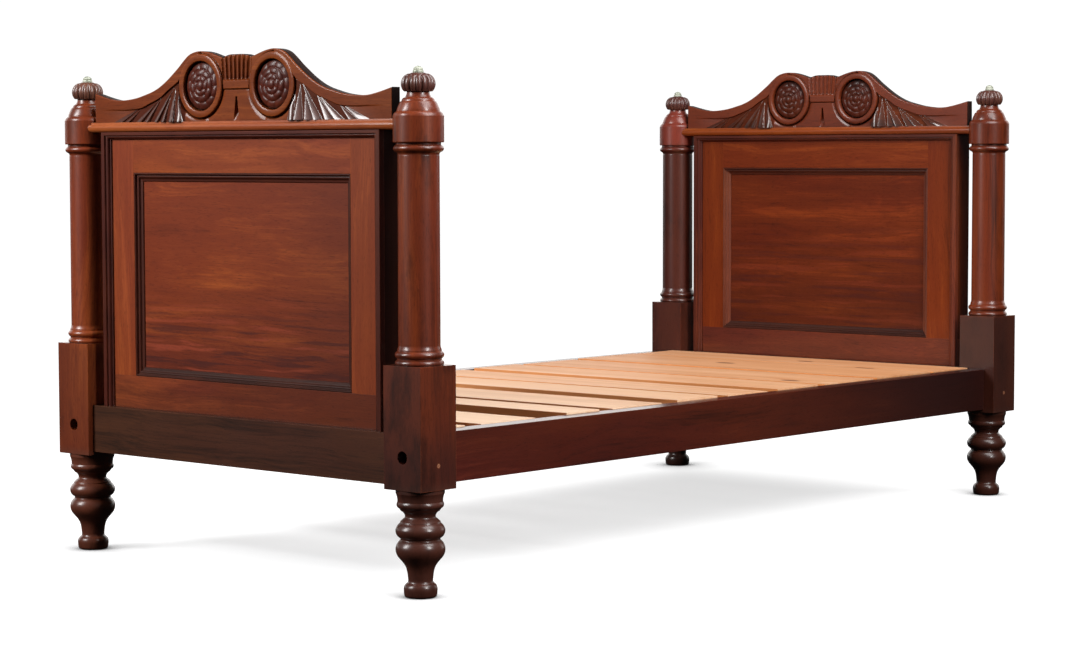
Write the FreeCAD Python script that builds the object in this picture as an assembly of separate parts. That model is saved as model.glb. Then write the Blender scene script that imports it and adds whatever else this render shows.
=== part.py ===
import FreeCAD, Part
import math
import os

# Single bed with two framed ends on turned posts, plain side rails and loose boards.
# X runs across the bed, Y along it from the foot to the head, Z up.
# The origin is on the floor under the middle of the bed. Lengths are millimetres.

# Layout of the four posts
post_spacing = 960.0
end_spacing = 1996.0

# Posts: turned leg, square block, turned column, capital and neck
block_side = 96.0
leg_height = 205.0
leg_radius = 47.0
block_height = 233.0
column_height = 416.0
column_radius = 48.0
capital_height = 51.0
shoulder_height = 42.0

# Turned outlines: shares of the height and of the largest radius, one list for each smooth run
leg_profile_shares = [
    [(0.0, 0.58), (0.012, 0.645), (0.045, 0.675), (0.075, 0.683), (0.105, 0.66), (0.132, 0.55)],
    [(0.132, 0.55), (0.145, 0.51), (0.175, 0.505), (0.225, 0.53), (0.28, 0.592), (0.335, 0.75),
     (0.39, 0.94), (0.44, 1.0), (0.485, 0.965), (0.53, 0.81)],
    [(0.53, 0.81), (0.54, 0.80), (0.55, 0.82)],
    [(0.55, 0.82), (0.575, 0.945), (0.617, 1.0), (0.655, 0.95), (0.686, 0.825)],
    [(0.686, 0.825), (0.702, 0.805)],
    [(0.702, 0.805), (0.728, 0.68)],
    [(0.728, 0.68), (0.742, 0.62), (0.765, 0.63), (0.80, 0.78)],
    [(0.80, 0.78), (0.826, 0.86)],
    [(0.826, 0.86), (0.845, 0.945), (0.866, 0.95), (0.885, 0.915)],
    [(0.885, 0.915), (0.93, 0.935), (0.965, 0.99)],
    [(0.965, 0.99), (1.0, 0.99)],
]
column_profile_shares = [
    [(0.0, 0.93), (0.010, 0.965), (0.020, 0.93)],
    [(0.020, 0.93), (0.025, 0.875)],
    [(0.025, 0.875), (0.031, 0.875)],
    [(0.031, 0.875), (0.038, 0.945), (0.047, 0.97), (0.056, 0.945), (0.063, 0.875)],
    [(0.063, 0.875), (0.072, 0.865)],
    [(0.072, 0.865), (0.082, 0.832), (0.095, 0.826)],
    [(0.095, 0.826), (0.50, 0.824), (0.94, 0.82)],
    [(0.94, 0.82), (0.952, 0.828), (0.957, 0.87)],
    [(0.957, 0.87), (0.963, 0.955), (0.973, 0.99), (0.983, 0.955), (0.989, 0.88)],
    [(0.989, 0.88), (1.0, 0.88)],
]
capital_profile_shares = [
    [(0.0, 0.985), (0.03, 1.0)],
    [(0.03, 1.0), (0.97, 1.0)],
    [(0.97, 1.0), (1.0, 0.985)],
]
shoulder_profile_shares = [
    [(0.0, 0.985), (0.05, 0.968), (0.105, 0.928), (0.14, 0.885)],
    [(0.14, 0.885), (0.165, 0.85)],
    [(0.165, 0.85), (0.28, 0.832), (0.41, 0.783), (0.53, 0.737), (0.59, 0.70)],
    [(0.59, 0.70), (0.615, 0.655)],
    [(0.615, 0.655), (0.68, 0.638), (0.735, 0.60), (0.77, 0.555)],
    [(0.77, 0.555), (0.795, 0.51)],
    [(0.795, 0.51), (0.87, 0.472), (1.0, 0.448)],
]

# Knob finials with lobes, each on a spigot in its post, and the small metal tips on them
finial_radius = 32.5
finial_neck_height = 2.0
finial_arc_rise = 16.0
finial_arc_radius = 20.5
finial_arc_low = -40.0
finial_arc_high = 84.0
finial_lobes = 16
finial_groove = 2.4
spigot_radius = 8.0
spigot_length = 34.0
tip_radius = 10.5
tip_height = 13.0
tip_stem_radius = 3.0
tip_stem_length = 14.0
tip_profile_shares = [
    [(0.0, 0.95), (0.18, 1.0), (0.36, 0.95)],
    [(0.36, 0.95), (0.42, 0.80)],
    [(0.42, 0.80), (0.60, 0.86), (0.80, 0.66), (0.94, 0.34), (1.0, 0.0)],
]

# Rails that tie the posts, all at one height above the foot of the blocks
rail_inset = 7.5
rail_height = 97.0
side_rail_width = 42.0
end_rail_width = 72.0
end_tenon_length = 36.0
end_tenon_width = 26.0
end_tenon_height = 66.0
side_tenon_length = 10.0
side_tenon_width = 22.0
side_tenon_height = 60.0

# Bed bolts through the blocks into the side rails, with square nuts let into the rails
bolt_rise = 54.5
bolt_radius = 5.0
bolt_head_radius = 9.5
bolt_head_height = 7.0
bolt_hole_depth = 24.0
bolt_hole_radius = 12.5
bolt_reach = 78.0
nut_side = 20.0
nut_height = 9.0
nut_inset = 52.0

# Pegs through the outer face of each block into the end of the end rail's tenon
peg_radius = 4.0
peg_rise = 39.0
peg_grip = 22.0

# Framed panel of each end, between the blocks; depths are from the plane of the post axes, the front looks to the foot
panel_gap = 27.0
stile_width = 89.0
frame_front = 16.0
frame_back = 31.0
bottom_rail_height = 67.0
top_rail_height = 83.0
groove_depth = 9.0
field_front = 4.0
field_thickness = 10.0
frame_tenon_length = 30.0
frame_tenon_thickness = 10.0
frame_tenon_back = 8.0
frame_tenon_edge = 14.0

# Planted mouldings: the border around the frame and the bead around the field
border_side_width = 22.0
border_top_width = 15.0
border_depth = 12.0
border_profile_shares = [
    (0.0, 0.0), (0.0, 0.93), (0.05, 1.0), (0.42, 1.0), (0.47, 0.93), (0.47, 0.74), (0.53, 0.70),
    (0.62, 0.73), (0.72, 0.70), (0.80, 0.60), (0.85, 0.46), (0.86, 0.30), (1.0, 0.24), (1.0, 0.0),
]
bead_width = 18.0
bead_profile_shares = [
    (0.0, 0.0), (0.0, 0.92), (0.06, 1.0), (0.16, 1.0), (0.22, 0.90), (0.24, 0.70), (0.32, 0.60),
    (0.42, 0.64), (0.52, 0.60), (0.60, 0.48), (0.64, 0.34), (0.76, 0.24), (0.92, 0.20), (1.0, 0.10),
    (1.0, 0.0),
]

# Moulded cap rail on top of each panel, between the capitals and above their foot
cap_inset = 24.5
cap_height = 20.0
cap_front = 31.0
cap_back = 32.0
cap_tenon_length = 16.0
cap_tenon_width = 20.0
cap_tenon_height = 12.0
cap_nose_depth = 11.0
cap_nose_shares = [
    (0.0, 0.40), (0.10, 0.72), (0.26, 0.92), (0.45, 1.0), (0.60, 0.96), (0.72, 0.84), (0.78, 0.68),
    (0.80, 0.50), (0.88, 0.44), (1.0, 0.42),
]

# Carved crest on each cap rail: two scrolls with roundels, a fluted fan between, leaf flutes beside
crest_height = 140.0
crest_front = 20.0
crest_back = 4.0
crest_fan_shares = [(0.0, 0.94), (0.05, 0.936), (0.10, 0.898)]
crest_scroll_shares = [
    (0.10, 0.898), (0.121, 0.918), (0.163, 0.958), (0.205, 0.988), (0.242, 1.0), (0.284, 0.989),
    (0.326, 0.945), (0.36, 0.871), (0.395, 0.782), (0.433, 0.696), (0.47, 0.616), (0.51, 0.541),
    (0.547, 0.484), (0.586, 0.439), (0.628, 0.404), (0.698, 0.355), (0.744, 0.336), (0.802, 0.324),
    (0.851, 0.328), (0.895, 0.349), (0.94, 0.379), (1.0, 0.425),
]
roundel_place_share = 0.24186
roundel_rise = 70.5
roundel_radius = 50.0
roundel_depth = 7.0
roundel_relief = 10.0
roundel_profile_shares = [
    (0.985, 0.0), (0.97, 0.42), (0.92, 0.62), (0.86, 0.66), (0.80, 0.58), (0.76, 0.34), (0.72, 0.34),
    (0.69, 0.66), (0.64, 0.84), (0.57, 0.88), (0.51, 0.80), (0.47, 0.52), (0.42, 0.52), (0.39, 0.78),
    (0.35, 0.92), (0.30, 0.92), (0.26, 0.76), (0.24, 0.58), (0.21, 0.62), (0.18, 0.86), (0.12, 0.98),
    (0.0, 1.0),
]
fan_relief = 5.0
fan_top_half_width = 40.0
fan_foot_half_width = 25.0
fan_foot_rise = 66.0
fan_band_height = 9.0
fan_flutes = 7
fan_flute_radius = 4.0
drop_rise = 26.0
drop_length = 34.0
drop_radius = 4.5
leaf_root_shares = [(0.412, 0.38), (0.440, 0.49), (0.535, 0.335), (0.675, 0.20), (0.785, 0.185)]
leaf_foot_shares = [(0.434, 0.07), (0.522, 0.07), (0.625, 0.07), (0.765, 0.07), (0.868, 0.07)]
leaf_root_radius = 4.5
leaf_foot_radius = 9.5

# Dowels between each crest and its cap rail
dowel_radius = 5.0
dowel_grip = 14.0
dowel_place_shares = [-0.72, 0.0, 0.72]

# Loose pine boards on ledger strips screwed inside the side rails
slat_rise = 2.0
slat_thickness = 20.0
slat_end_play = 3.0
slat_edge_play = 3.0
slat_foot_shares = [0.0, 0.0766, 0.2109, 0.2872, 0.4002, 0.4937, 0.5892, 0.6848, 0.7951, 0.9213]
slat_width_shares = [0.0523, 0.0842, 0.0541, 0.0855, 0.0734, 0.0755, 0.0808, 0.1019, 0.1177, 0.0787]
slat_thickness_shares = [1.0, 0.94, 1.06, 0.97, 1.08, 0.95, 1.04, 0.98, 1.05, 1.0]
ledger_width = 25.0
ledger_height = 26.0
ledger_end_gap = 14.0
screw_radius = 2.2
screw_head_radius = 4.4
screw_head_height = 3.0
screw_length = 46.0
screw_count = 7

# Room left between fitted pieces, and how far each cut runs past a face
fit_clearance = 0.25
bore_clearance = 0.5
crest_end_clearance = 2.0
overrun = 2.0

# Derived places
half_width = post_spacing / 2
half_length = end_spacing / 2
half_block = block_side / 2
block_top = leg_height + block_height
capital_bottom = block_top + column_height
neck_bottom = capital_bottom + capital_height
post_top = neck_bottom + shoulder_height
rail_bottom = leg_height + rail_inset
rail_top = rail_bottom + rail_height
bolt_height = rail_bottom + bolt_rise
peg_height = rail_bottom + peg_rise
panel_half_width = half_width - half_block - panel_gap
field_half_width = panel_half_width - stile_width
field_bottom = rail_top + bottom_rail_height
panel_top = capital_bottom + cap_inset
field_top = panel_top - top_rail_height
cap_top = panel_top + cap_height
crest_half_length = half_width - column_radius - crest_end_clearance
roundel_offset = crest_half_length * roundel_place_share
inner_half_length = half_length - half_block
slat_top = rail_top + slat_rise
neck_radius = column_radius * shoulder_profile_shares[-1][-1][1]
finial_arc_centre = finial_radius - finial_arc_radius
finial_height = finial_arc_rise + finial_arc_radius * math.sin(math.radians(finial_arc_high))
ledger_top = slat_top - slat_thickness

UP = FreeCAD.Vector(0, 0, 1)
ALONG = FreeCAD.Vector(0, 1, 0)
ACROSS = FreeCAD.Vector(1, 0, 0)
SIDES = {"left": -1, "right": 1}
ENDS = {"foot": -1, "head": 1}


def vec(x, y, z):
    return FreeCAD.Vector(x, y, z)


def box(x0, x1, y0, y1, z0, z1):
    low = vec(min(x0, x1), min(y0, y1), min(z0, z1))
    return Part.makeBox(abs(x1 - x0), abs(y1 - y0), abs(z1 - z0), low)


def moved(shape, x, y, z):
    copy = shape.copy()
    copy.translate(vec(x, y, z))
    return copy


def spline(points):
    if len(points) == 2:
        return Part.makeLine(points[0], points[1])
    curve = Part.BSplineCurve()
    curve.interpolate(points)
    return curve.toShape()


def turned(runs, height, radius, base):
    """Solid of revolution about Z from smooth runs of (height share, radius share)."""
    edges = []
    for run in runs:
        points = [vec(radius * r, 0, base + height * h) for h, r in run]
        edges.append(spline(points))
    first = runs[0][0]
    last = runs[-1][-1]
    axis_low = vec(0, 0, base + height * first[0])
    axis_high = vec(0, 0, base + height * last[0])
    edges.insert(0, Part.makeLine(axis_low, vec(radius * first[1], 0, axis_low.z)))
    if last[1] > 0:
        edges.append(Part.makeLine(vec(radius * last[1], 0, axis_high.z), axis_high))
    edges.append(Part.makeLine(axis_high, axis_low))
    return Part.Face(Part.Wire(edges)).revolve(vec(0, 0, 0), UP, 360)


def prism(points, direction):
    return Part.Face(Part.makePolygon(points + points[:1])).extrude(direction)


def ruled(first, last):
    """Straight strip between two matching end outlines, closed by flat faces."""
    faces = [Part.Face(Part.makePolygon(points + points[:1])) for points in (first, last)]
    for index in range(len(first)):
        after = (index + 1) % len(first)
        corners = [first[index], first[after], last[after], last[index]]
        faces.append(Part.Face(Part.makePolygon(corners + corners[:1])))
    solid = Part.makeSolid(Part.makeShell(faces))
    if solid.Volume < 0:
        solid.reverse()
    return solid


def make_post(side, end):
    """One post in its place, with the holes and mortises of the pieces it holds."""
    leg = turned(leg_profile_shares, leg_height, leg_radius, 0)
    column = turned(column_profile_shares, column_height, column_radius, block_top)
    capital = turned(capital_profile_shares, capital_height, column_radius, capital_bottom)
    shoulder = turned(shoulder_profile_shares, shoulder_height, column_radius, neck_bottom)
    block = box(-half_block, half_block, -half_block, half_block, leg_height, block_top)
    post = block.fuse([leg, column, capital, shoulder]).removeSplitter()
    inward_x = -side * half_block
    inward_y = -end * half_block
    rail_middle = rail_bottom + rail_height / 2
    end_mortise = box(
        inward_x - side * overrun, inward_x + side * (end_tenon_length + bore_clearance),
        -end_tenon_width / 2 - fit_clearance, end_tenon_width / 2 + fit_clearance,
        rail_middle - end_tenon_height / 2 - fit_clearance,
        rail_middle + end_tenon_height / 2 + fit_clearance,
    )
    side_mortise = box(
        -side_tenon_width / 2 - fit_clearance, side_tenon_width / 2 + fit_clearance,
        inward_y - end * overrun, inward_y + end * (side_tenon_length + bore_clearance),
        rail_middle - side_tenon_height / 2 - fit_clearance,
        rail_middle + side_tenon_height / 2 + fit_clearance,
    )
    bolt_bore = Part.makeCylinder(
        bolt_radius + bore_clearance, block_side + 2 * overrun, vec(0, -half_block - overrun, bolt_height), ALONG
    )
    recess_start = vec(0, end * (half_block + overrun), bolt_height)
    recess = Part.makeCylinder(bolt_hole_radius, bolt_hole_depth + overrun, recess_start, ALONG * -end)
    peg_start = vec(side * (half_block + overrun), 0, peg_height)
    peg_bore = Part.makeCylinder(peg_radius + fit_clearance, block_side, peg_start, ACROSS * -side)
    spigot_bore = Part.makeCylinder(
        spigot_radius + fit_clearance, spigot_length + bore_clearance + overrun,
        vec(0, 0, post_top - spigot_length - bore_clearance),
    )
    cap_middle = panel_top + cap_height / 2
    cap_mortise = box(
        -side * column_radius - side * overrun,
        -side * (column_radius - cap_tenon_length - bore_clearance),
        -cap_tenon_width / 2 - fit_clearance, cap_tenon_width / 2 + fit_clearance,
        cap_middle - cap_tenon_height / 2 - fit_clearance, cap_middle + cap_tenon_height / 2 + fit_clearance,
    )
    cuts = [end_mortise, side_mortise, bolt_bore, recess, peg_bore, spigot_bore, cap_mortise]
    return moved(post.cut(cuts), side * half_width, end * half_length, 0)


def arc_point(angle):
    """Point on the knob's outline at an angle above the level of its widest part."""
    turn = math.radians(angle)
    return vec(
        finial_arc_centre + finial_arc_radius * math.cos(turn), 0, finial_arc_rise + finial_arc_radius * math.sin(turn)
    )


def make_finial():
    """Lobed knob on its spigot, standing on the origin, bored for the stem of its tip."""
    points = [arc_point(angle) for angle in (finial_arc_low, 0, finial_arc_high)]
    corners = [vec(0, 0, finial_height), vec(0, 0, 0), vec(neck_radius, 0, 0), vec(neck_radius, 0, finial_neck_height)]
    edges = [Part.Arc(points[0], points[1], points[2]).toShape()]
    for start, stop in zip([points[2]] + corners, corners + [points[0]]):
        edges.append(Part.makeLine(start, stop))
    knob = Part.Face(Part.Wire(edges)).revolve(vec(0, 0, 0), UP, 360)
    spigot = Part.makeCylinder(spigot_radius, spigot_length, vec(0, 0, -spigot_length))
    knob = knob.fuse(spigot).removeSplitter()
    groove_angle = finial_arc_high - finial_arc_low
    groove = Part.makeTorus(finial_arc_radius, finial_groove, vec(0, 0, 0), UP, -180, 180, groove_angle)
    groove.rotate(vec(0, 0, 0), UP, finial_arc_low)
    groove.rotate(vec(0, 0, 0), ACROSS, 90)
    groove.translate(vec(finial_arc_centre, 0, finial_arc_rise))
    grooves = []
    for index in range(finial_lobes):
        turn = groove.copy()
        turn.rotate(vec(0, 0, 0), UP, 360.0 * index / finial_lobes)
        grooves.append(turn)
    stem_depth = tip_stem_length + bore_clearance
    stem_bore = Part.makeCylinder(
        tip_stem_radius + fit_clearance, stem_depth + overrun, vec(0, 0, finial_height - stem_depth)
    )
    return knob.cut(grooves).cut(stem_bore)


def make_tip():
    """Small turned metal tip with the stem that holds it in its finial."""
    tip = turned(tip_profile_shares, tip_height, tip_radius, 0)
    stem = Part.makeCylinder(tip_stem_radius, tip_stem_length, vec(0, 0, -tip_stem_length))
    return tip.fuse(stem).removeSplitter()


def make_end_rail():
    """Rail between the two blocks of one end, with its tenons."""
    shoulder_x = half_width - half_block
    rail = box(-shoulder_x, shoulder_x, -end_rail_width / 2, end_rail_width / 2, rail_bottom, rail_top)
    tenon_x = shoulder_x + end_tenon_length
    middle = rail_bottom + rail_height / 2
    tenon = box(
        -tenon_x, tenon_x, -end_tenon_width / 2, end_tenon_width / 2,
        middle - end_tenon_height / 2, middle + end_tenon_height / 2,
    )
    rail = rail.fuse(tenon).removeSplitter()
    for side in SIDES.values():
        hole_start = vec(side * (tenon_x + overrun), 0, peg_height)
        hole_length = peg_grip + bore_clearance + overrun
        rail = rail.cut(Part.makeCylinder(peg_radius + fit_clearance, hole_length, hole_start, ACROSS * -side))
    return rail


def make_pegs():
    """Round pegs from the outer faces of the blocks into the tenons."""
    tenon_end = half_width - half_block + end_tenon_length
    pegs = []
    for end in ENDS.values():
        for side in SIDES.values():
            outer = half_width + half_block
            start = vec(side * outer, end * half_length, peg_height)
            length = outer - tenon_end + peg_grip
            pegs.append(Part.makeCylinder(peg_radius, length, start, ACROSS * -side))
    return Part.makeCompound(pegs)


def frame_slot(x0, x1, z0, z1):
    """Groove in a frame member that takes the edge of the field panel."""
    return box(
        x0, x1, -field_front - fit_clearance, -field_front + field_thickness + fit_clearance, z0, z1
    )


def make_bottom_rail():
    rail = box(-panel_half_width, panel_half_width, -frame_front, frame_back, rail_top, field_bottom)
    slot = frame_slot(
        -field_half_width - groove_depth, field_half_width + groove_depth,
        field_bottom - groove_depth, field_bottom + overrun,
    )
    cuts = [slot]
    for side in SIDES.values():
        cuts.append(frame_tenon(side, field_bottom, -1, fit_clearance))
    return rail.cut(cuts)


def frame_tenon(side, height, way, room):
    """Stub tenon at the foot of a stile, or the mortise for it when room is given."""
    middle = side * (field_half_width + panel_half_width) / 2
    half = (panel_half_width - field_half_width) / 2 - frame_tenon_edge + room
    back = frame_back - frame_tenon_back + room
    front = frame_back - frame_tenon_back - frame_tenon_thickness - room
    return box(middle - half, middle + half, front, back, height, height + way * (frame_tenon_length + room))


def make_stile(side):
    """Upright of the frame, tenoned into the bottom rail and mortised for the top rail."""
    stile = box(
        side * field_half_width, side * panel_half_width, -frame_front, frame_back, field_bottom, panel_top
    )
    slot = frame_slot(
        side * (field_half_width - overrun), side * (field_half_width + groove_depth),
        field_bottom - overrun, field_top + groove_depth,
    )
    mortise = top_rail_tenon(side, fit_clearance)
    return stile.fuse(frame_tenon(side, field_bottom, -1, 0)).removeSplitter().cut([slot, mortise])


def top_rail_tenon(side, room):
    back = frame_back - frame_tenon_back + room
    front = frame_back - frame_tenon_back - frame_tenon_thickness - room
    low = field_top + frame_tenon_edge - room
    high = panel_top - frame_tenon_edge + room
    reach = field_half_width + frame_tenon_length + room
    return box(side * field_half_width, side * reach, front, back, low, high)


def make_top_rail():
    rail = box(-field_half_width, field_half_width, -frame_front, frame_back, field_top, panel_top)
    tenons = [top_rail_tenon(side, 0) for side in SIDES.values()]
    slot = frame_slot(
        -field_half_width - overrun, field_half_width + overrun, field_top - overrun, field_top + groove_depth
    )
    return rail.fuse(tenons).removeSplitter().cut(slot)


def make_field():
    """Thin panel whose edges lie in the grooves of the frame, with room to move."""
    edge = groove_depth - bore_clearance
    return box(
        -field_half_width - edge, field_half_width + edge, -field_front, field_thickness - field_front,
        field_bottom - edge, field_top + edge,
    )


def strip(profile, depth, seat, first, last):
    """Moulding strip: profile shares across and out, end corners given for the outer and inner edge."""
    ends = []
    for outer, inner in (first, last):
        points = []
        for across, out in profile:
            x = outer[0] + across * (inner[0] - outer[0])
            z = outer[1] + across * (inner[1] - outer[1])
            points.append(vec(x, -seat - depth * out, z))
        ends.append(points)
    return ruled(ends[0], ends[1])


def make_borders():
    """Border moulding planted on the frame at both sides and along the top, mitred at the corners."""
    inner_x = panel_half_width - border_side_width
    inner_z = panel_top - border_top_width
    borders = {}
    for name, side in SIDES.items():
        low = ((side * panel_half_width, rail_top), (side * inner_x, rail_top))
        high = ((side * panel_half_width, panel_top), (side * inner_x, inner_z))
        borders["border_" + name] = strip(border_profile_shares, border_depth, frame_front, low, high)
    left = ((-panel_half_width, panel_top), (-inner_x, inner_z))
    right = ((panel_half_width, panel_top), (inner_x, inner_z))
    borders["border_top"] = strip(border_profile_shares, border_depth, frame_front, left, right)
    return borders


def make_beads():
    """Sunk moulding around the field panel in four mitred strips."""
    depth = frame_front - field_front
    inner_x = field_half_width - bead_width
    inner_low = field_bottom + bead_width
    inner_high = field_top - bead_width
    outer = {
        "left_low": (-field_half_width, field_bottom), "right_low": (field_half_width, field_bottom),
        "left_high": (-field_half_width, field_top), "right_high": (field_half_width, field_top),
    }
    inner = {
        "left_low": (-inner_x, inner_low), "right_low": (inner_x, inner_low),
        "left_high": (-inner_x, inner_high), "right_high": (inner_x, inner_high),
    }
    runs = {
        "bead_left": ("left_low", "left_high"), "bead_right": ("right_low", "right_high"),
        "bead_bottom": ("left_low", "right_low"), "bead_top": ("left_high", "right_high"),
    }
    beads = {}
    for name, (start, stop) in runs.items():
        first = (outer[start], inner[start])
        last = (outer[stop], inner[stop])
        beads[name] = strip(bead_profile_shares, depth, field_front, first, last)
    return beads


def make_cap_rail():
    """Moulded rail between the capitals, coped to their round and tenoned into them."""
    nose = [
        vec(-half_width, -cap_front + cap_nose_depth * (1 - out), panel_top + cap_height * up)
        for up, out in cap_nose_shares
    ]
    back = [vec(-half_width, cap_back, cap_top), vec(-half_width, cap_back, panel_top)]
    rail = prism(nose + back, ACROSS * post_spacing)
    middle = panel_top + cap_height / 2
    for side in SIDES.values():
        round_cut = Part.makeCylinder(
            column_radius + fit_clearance, cap_height + 2 * overrun, vec(side * half_width, 0, panel_top - overrun)
        )
        rail = rail.cut(round_cut)
    tenon_reach = half_width - column_radius + cap_tenon_length
    tenon = box(
        -tenon_reach, tenon_reach, -cap_tenon_width / 2, cap_tenon_width / 2,
        middle - cap_tenon_height / 2, middle + cap_tenon_height / 2,
    )
    rail = rail.fuse(tenon).removeSplitter()
    return rail.cut(dowel_bores())


def dowel_places():
    middle = (crest_back - crest_front) / 2
    return [vec(share * crest_half_length, middle, cap_top - dowel_grip) for share in dowel_place_shares]


def dowel_bores():
    bores = []
    for place in dowel_places():
        start = place - UP * bore_clearance
        bores.append(Part.makeCylinder(dowel_radius + fit_clearance, 2 * (dowel_grip + bore_clearance), start))
    return bores


def make_dowels():
    """Dowels that hold the two crests on their cap rails."""
    dowels = []
    for end in ENDS.values():
        for place in dowel_places():
            dowels.append(Part.makeCylinder(dowel_radius, 2 * dowel_grip, place + ALONG * end * half_length))
    return Part.makeCompound(dowels)


def crest_point(side, share):
    return vec(side * crest_half_length * share[0], -crest_front, cap_top + crest_height * share[1])


def make_crest_board():
    """Scrolled board of the crest, the same to the left and right of the middle."""
    edges = []
    for side in SIDES.values():
        fan = [crest_point(side, share) for share in crest_fan_shares]
        scroll = [crest_point(side, share) for share in crest_scroll_shares]
        foot = crest_point(side, (crest_scroll_shares[-1][0], 0))
        run = [spline(fan), spline(scroll), Part.makeLine(scroll[-1], foot)]
        edges.extend(run)
    feet = [crest_point(side, (crest_scroll_shares[-1][0], 0)) for side in SIDES.values()]
    edges.append(Part.makeLine(feet[0], feet[1]))
    wire = Part.Wire(Part.__sortEdges__(edges))
    return Part.Face(wire).extrude(ALONG * (crest_front + crest_back))


def make_roundel():
    """Turned rosette about a line along the bed, with its back on the plane of the crest's front."""
    points = [vec(roundel_radius * r, 0, roundel_relief * up) for r, up in roundel_profile_shares]
    points.append(vec(0, 0, -roundel_depth))
    points.append(vec(roundel_radius * roundel_profile_shares[0][0], 0, -roundel_depth))
    face = Part.Face(Part.makePolygon(points + points[:1]))
    rosette = face.revolve(vec(0, 0, 0), UP, 360)
    rosette.rotate(vec(0, 0, 0), ACROSS, 90)
    return rosette


def make_fan():
    """Raised wedge between the scrolls with flutes that spread upward from its foot band."""
    front = -crest_front - fan_relief
    foot = cap_top + fan_foot_rise
    top = cap_top + crest_height * crest_fan_shares[-1][1]
    corners = [
        vec(-fan_foot_half_width, front, foot), vec(fan_foot_half_width, front, foot),
        vec(fan_top_half_width, front, top), vec(-fan_top_half_width, front, top),
    ]
    wedge = prism(corners, ALONG * (fan_relief + crest_front / 2))
    flutes = []
    for index in range(fan_flutes):
        share = 2 * (index + 0.5) / fan_flutes - 1
        start = vec(share * fan_foot_half_width, front, foot + fan_band_height)
        stop = vec(share * fan_top_half_width, front, top + overrun)
        run = stop - start
        root_radius = fan_flute_radius * fan_foot_half_width / fan_top_half_width
        flutes.append(Part.makeCone(root_radius, fan_flute_radius, run.Length, start, run))
    return wedge.cut(flutes)


def make_crest():
    """Crest board with its roundels, fan, drop and leaf flutes."""
    board = make_crest_board()
    cuts = []
    rosettes = []
    for side in SIDES.values():
        centre = vec(side * roundel_offset, -crest_front, cap_top + roundel_rise)
        sink_start = centre - ALONG * overrun
        cuts.append(Part.makeCylinder(roundel_radius, roundel_depth + overrun, sink_start, ALONG))
        rosettes.append(moved(make_roundel(), centre.x, -crest_front + roundel_depth, centre.z))
        for root_share, foot_share in zip(leaf_root_shares, leaf_foot_shares):
            root = crest_point(side, root_share)
            foot = crest_point(side, foot_share)
            run = foot - root
            cuts.append(Part.makeCone(leaf_root_radius, leaf_foot_radius, run.Length, root, run))
    drop_start = vec(0, -crest_front, cap_top + drop_rise - drop_length / 2)
    cuts.append(Part.makeCone(drop_radius, 0, drop_length, drop_start, UP))
    cuts.extend(dowel_bores())
    return board.cut(cuts).fuse(rosettes + [make_fan()]).removeSplitter()


def make_side_rail(side):
    """Side rail with stub tenons, bolt bores in its ends and pockets for the nuts."""
    half = side_rail_width / 2
    rail = box(-half, half, -inner_half_length, inner_half_length, rail_bottom, rail_top)
    middle = rail_bottom + rail_height / 2
    tenon_y = inner_half_length + side_tenon_length
    tenon = box(
        -side_tenon_width / 2, side_tenon_width / 2, -tenon_y, tenon_y,
        middle - side_tenon_height / 2, middle + side_tenon_height / 2,
    )
    rail = rail.fuse(tenon).removeSplitter()
    cuts = []
    for end in ENDS.values():
        start = vec(0, end * (tenon_y + overrun), bolt_height)
        depth = bolt_reach + side_tenon_length + overrun + bore_clearance
        cuts.append(Part.makeCylinder(bolt_radius + bore_clearance, depth, start, ALONG * -end))
        pocket_y = end * (inner_half_length - nut_inset)
        half_pocket = nut_height / 2 + fit_clearance
        half_nut = nut_side / 2 + fit_clearance
        cuts.append(box(
            -side * (half + overrun), side * half_nut, pocket_y - half_pocket, pocket_y + half_pocket,
            bolt_height - half_nut, bolt_height + half_nut,
        ))
    rail = rail.cut(cuts)
    rail = moved(rail, side * half_width, 0, 0)
    return rail.cut([screw_hole(side, place) for place in screw_places()])


def make_bolts():
    """Bed bolts, head in the recess of the block and point in the side rail."""
    bolts = []
    for end in ENDS.values():
        for side in SIDES.values():
            seat = end * (half_length + half_block - bolt_hole_depth)
            tip = end * (inner_half_length - bolt_reach)
            start = vec(side * half_width, seat, bolt_height)
            shank = Part.makeCylinder(bolt_radius, abs(seat - tip), start, ALONG * -end)
            head = Part.makeCylinder(bolt_head_radius, bolt_head_height, start, ALONG * end)
            bolts.append(shank.fuse(head).removeSplitter())
    return Part.makeCompound(bolts)


def make_nuts():
    """Square nuts in the pockets of the side rails."""
    nuts = []
    for end in ENDS.values():
        for side in SIDES.values():
            x = side * half_width
            y = end * (inner_half_length - nut_inset)
            nut = box(
                x - nut_side / 2, x + nut_side / 2, y - nut_height / 2, y + nut_height / 2,
                bolt_height - nut_side / 2, bolt_height + nut_side / 2,
            )
            bore_start = vec(x, y - nut_height, bolt_height)
            nuts.append(nut.cut(Part.makeCylinder(bolt_radius + fit_clearance, 2 * nut_height, bore_start, ALONG)))
    return Part.makeCompound(nuts)


def ledger_face(side):
    return side * (half_width - side_rail_width / 2)


def screw_places():
    reach = inner_half_length - ledger_end_gap - nut_inset
    return [reach * (2 * index / (screw_count - 1) - 1) for index in range(screw_count)]


def screw_body(side, place, room):
    """Countersunk screw through a ledger into its rail, or its hole when room is given."""
    head_face = ledger_face(side) - side * ledger_width
    height = ledger_top - ledger_height / 2
    start = vec(head_face, place, height)
    out = ACROSS * side
    shank = Part.makeCylinder(screw_radius + room, screw_length + room, start, out)
    head = Part.makeCone(screw_head_radius + room, screw_radius + room, screw_head_height + room, start, out)
    return shank.fuse(head).removeSplitter()


def screw_hole(side, place):
    return screw_body(side, place, fit_clearance)


def make_screws():
    screws = []
    for side in SIDES.values():
        for place in screw_places():
            screws.append(screw_body(side, place, 0))
    return Part.makeCompound(screws)


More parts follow.
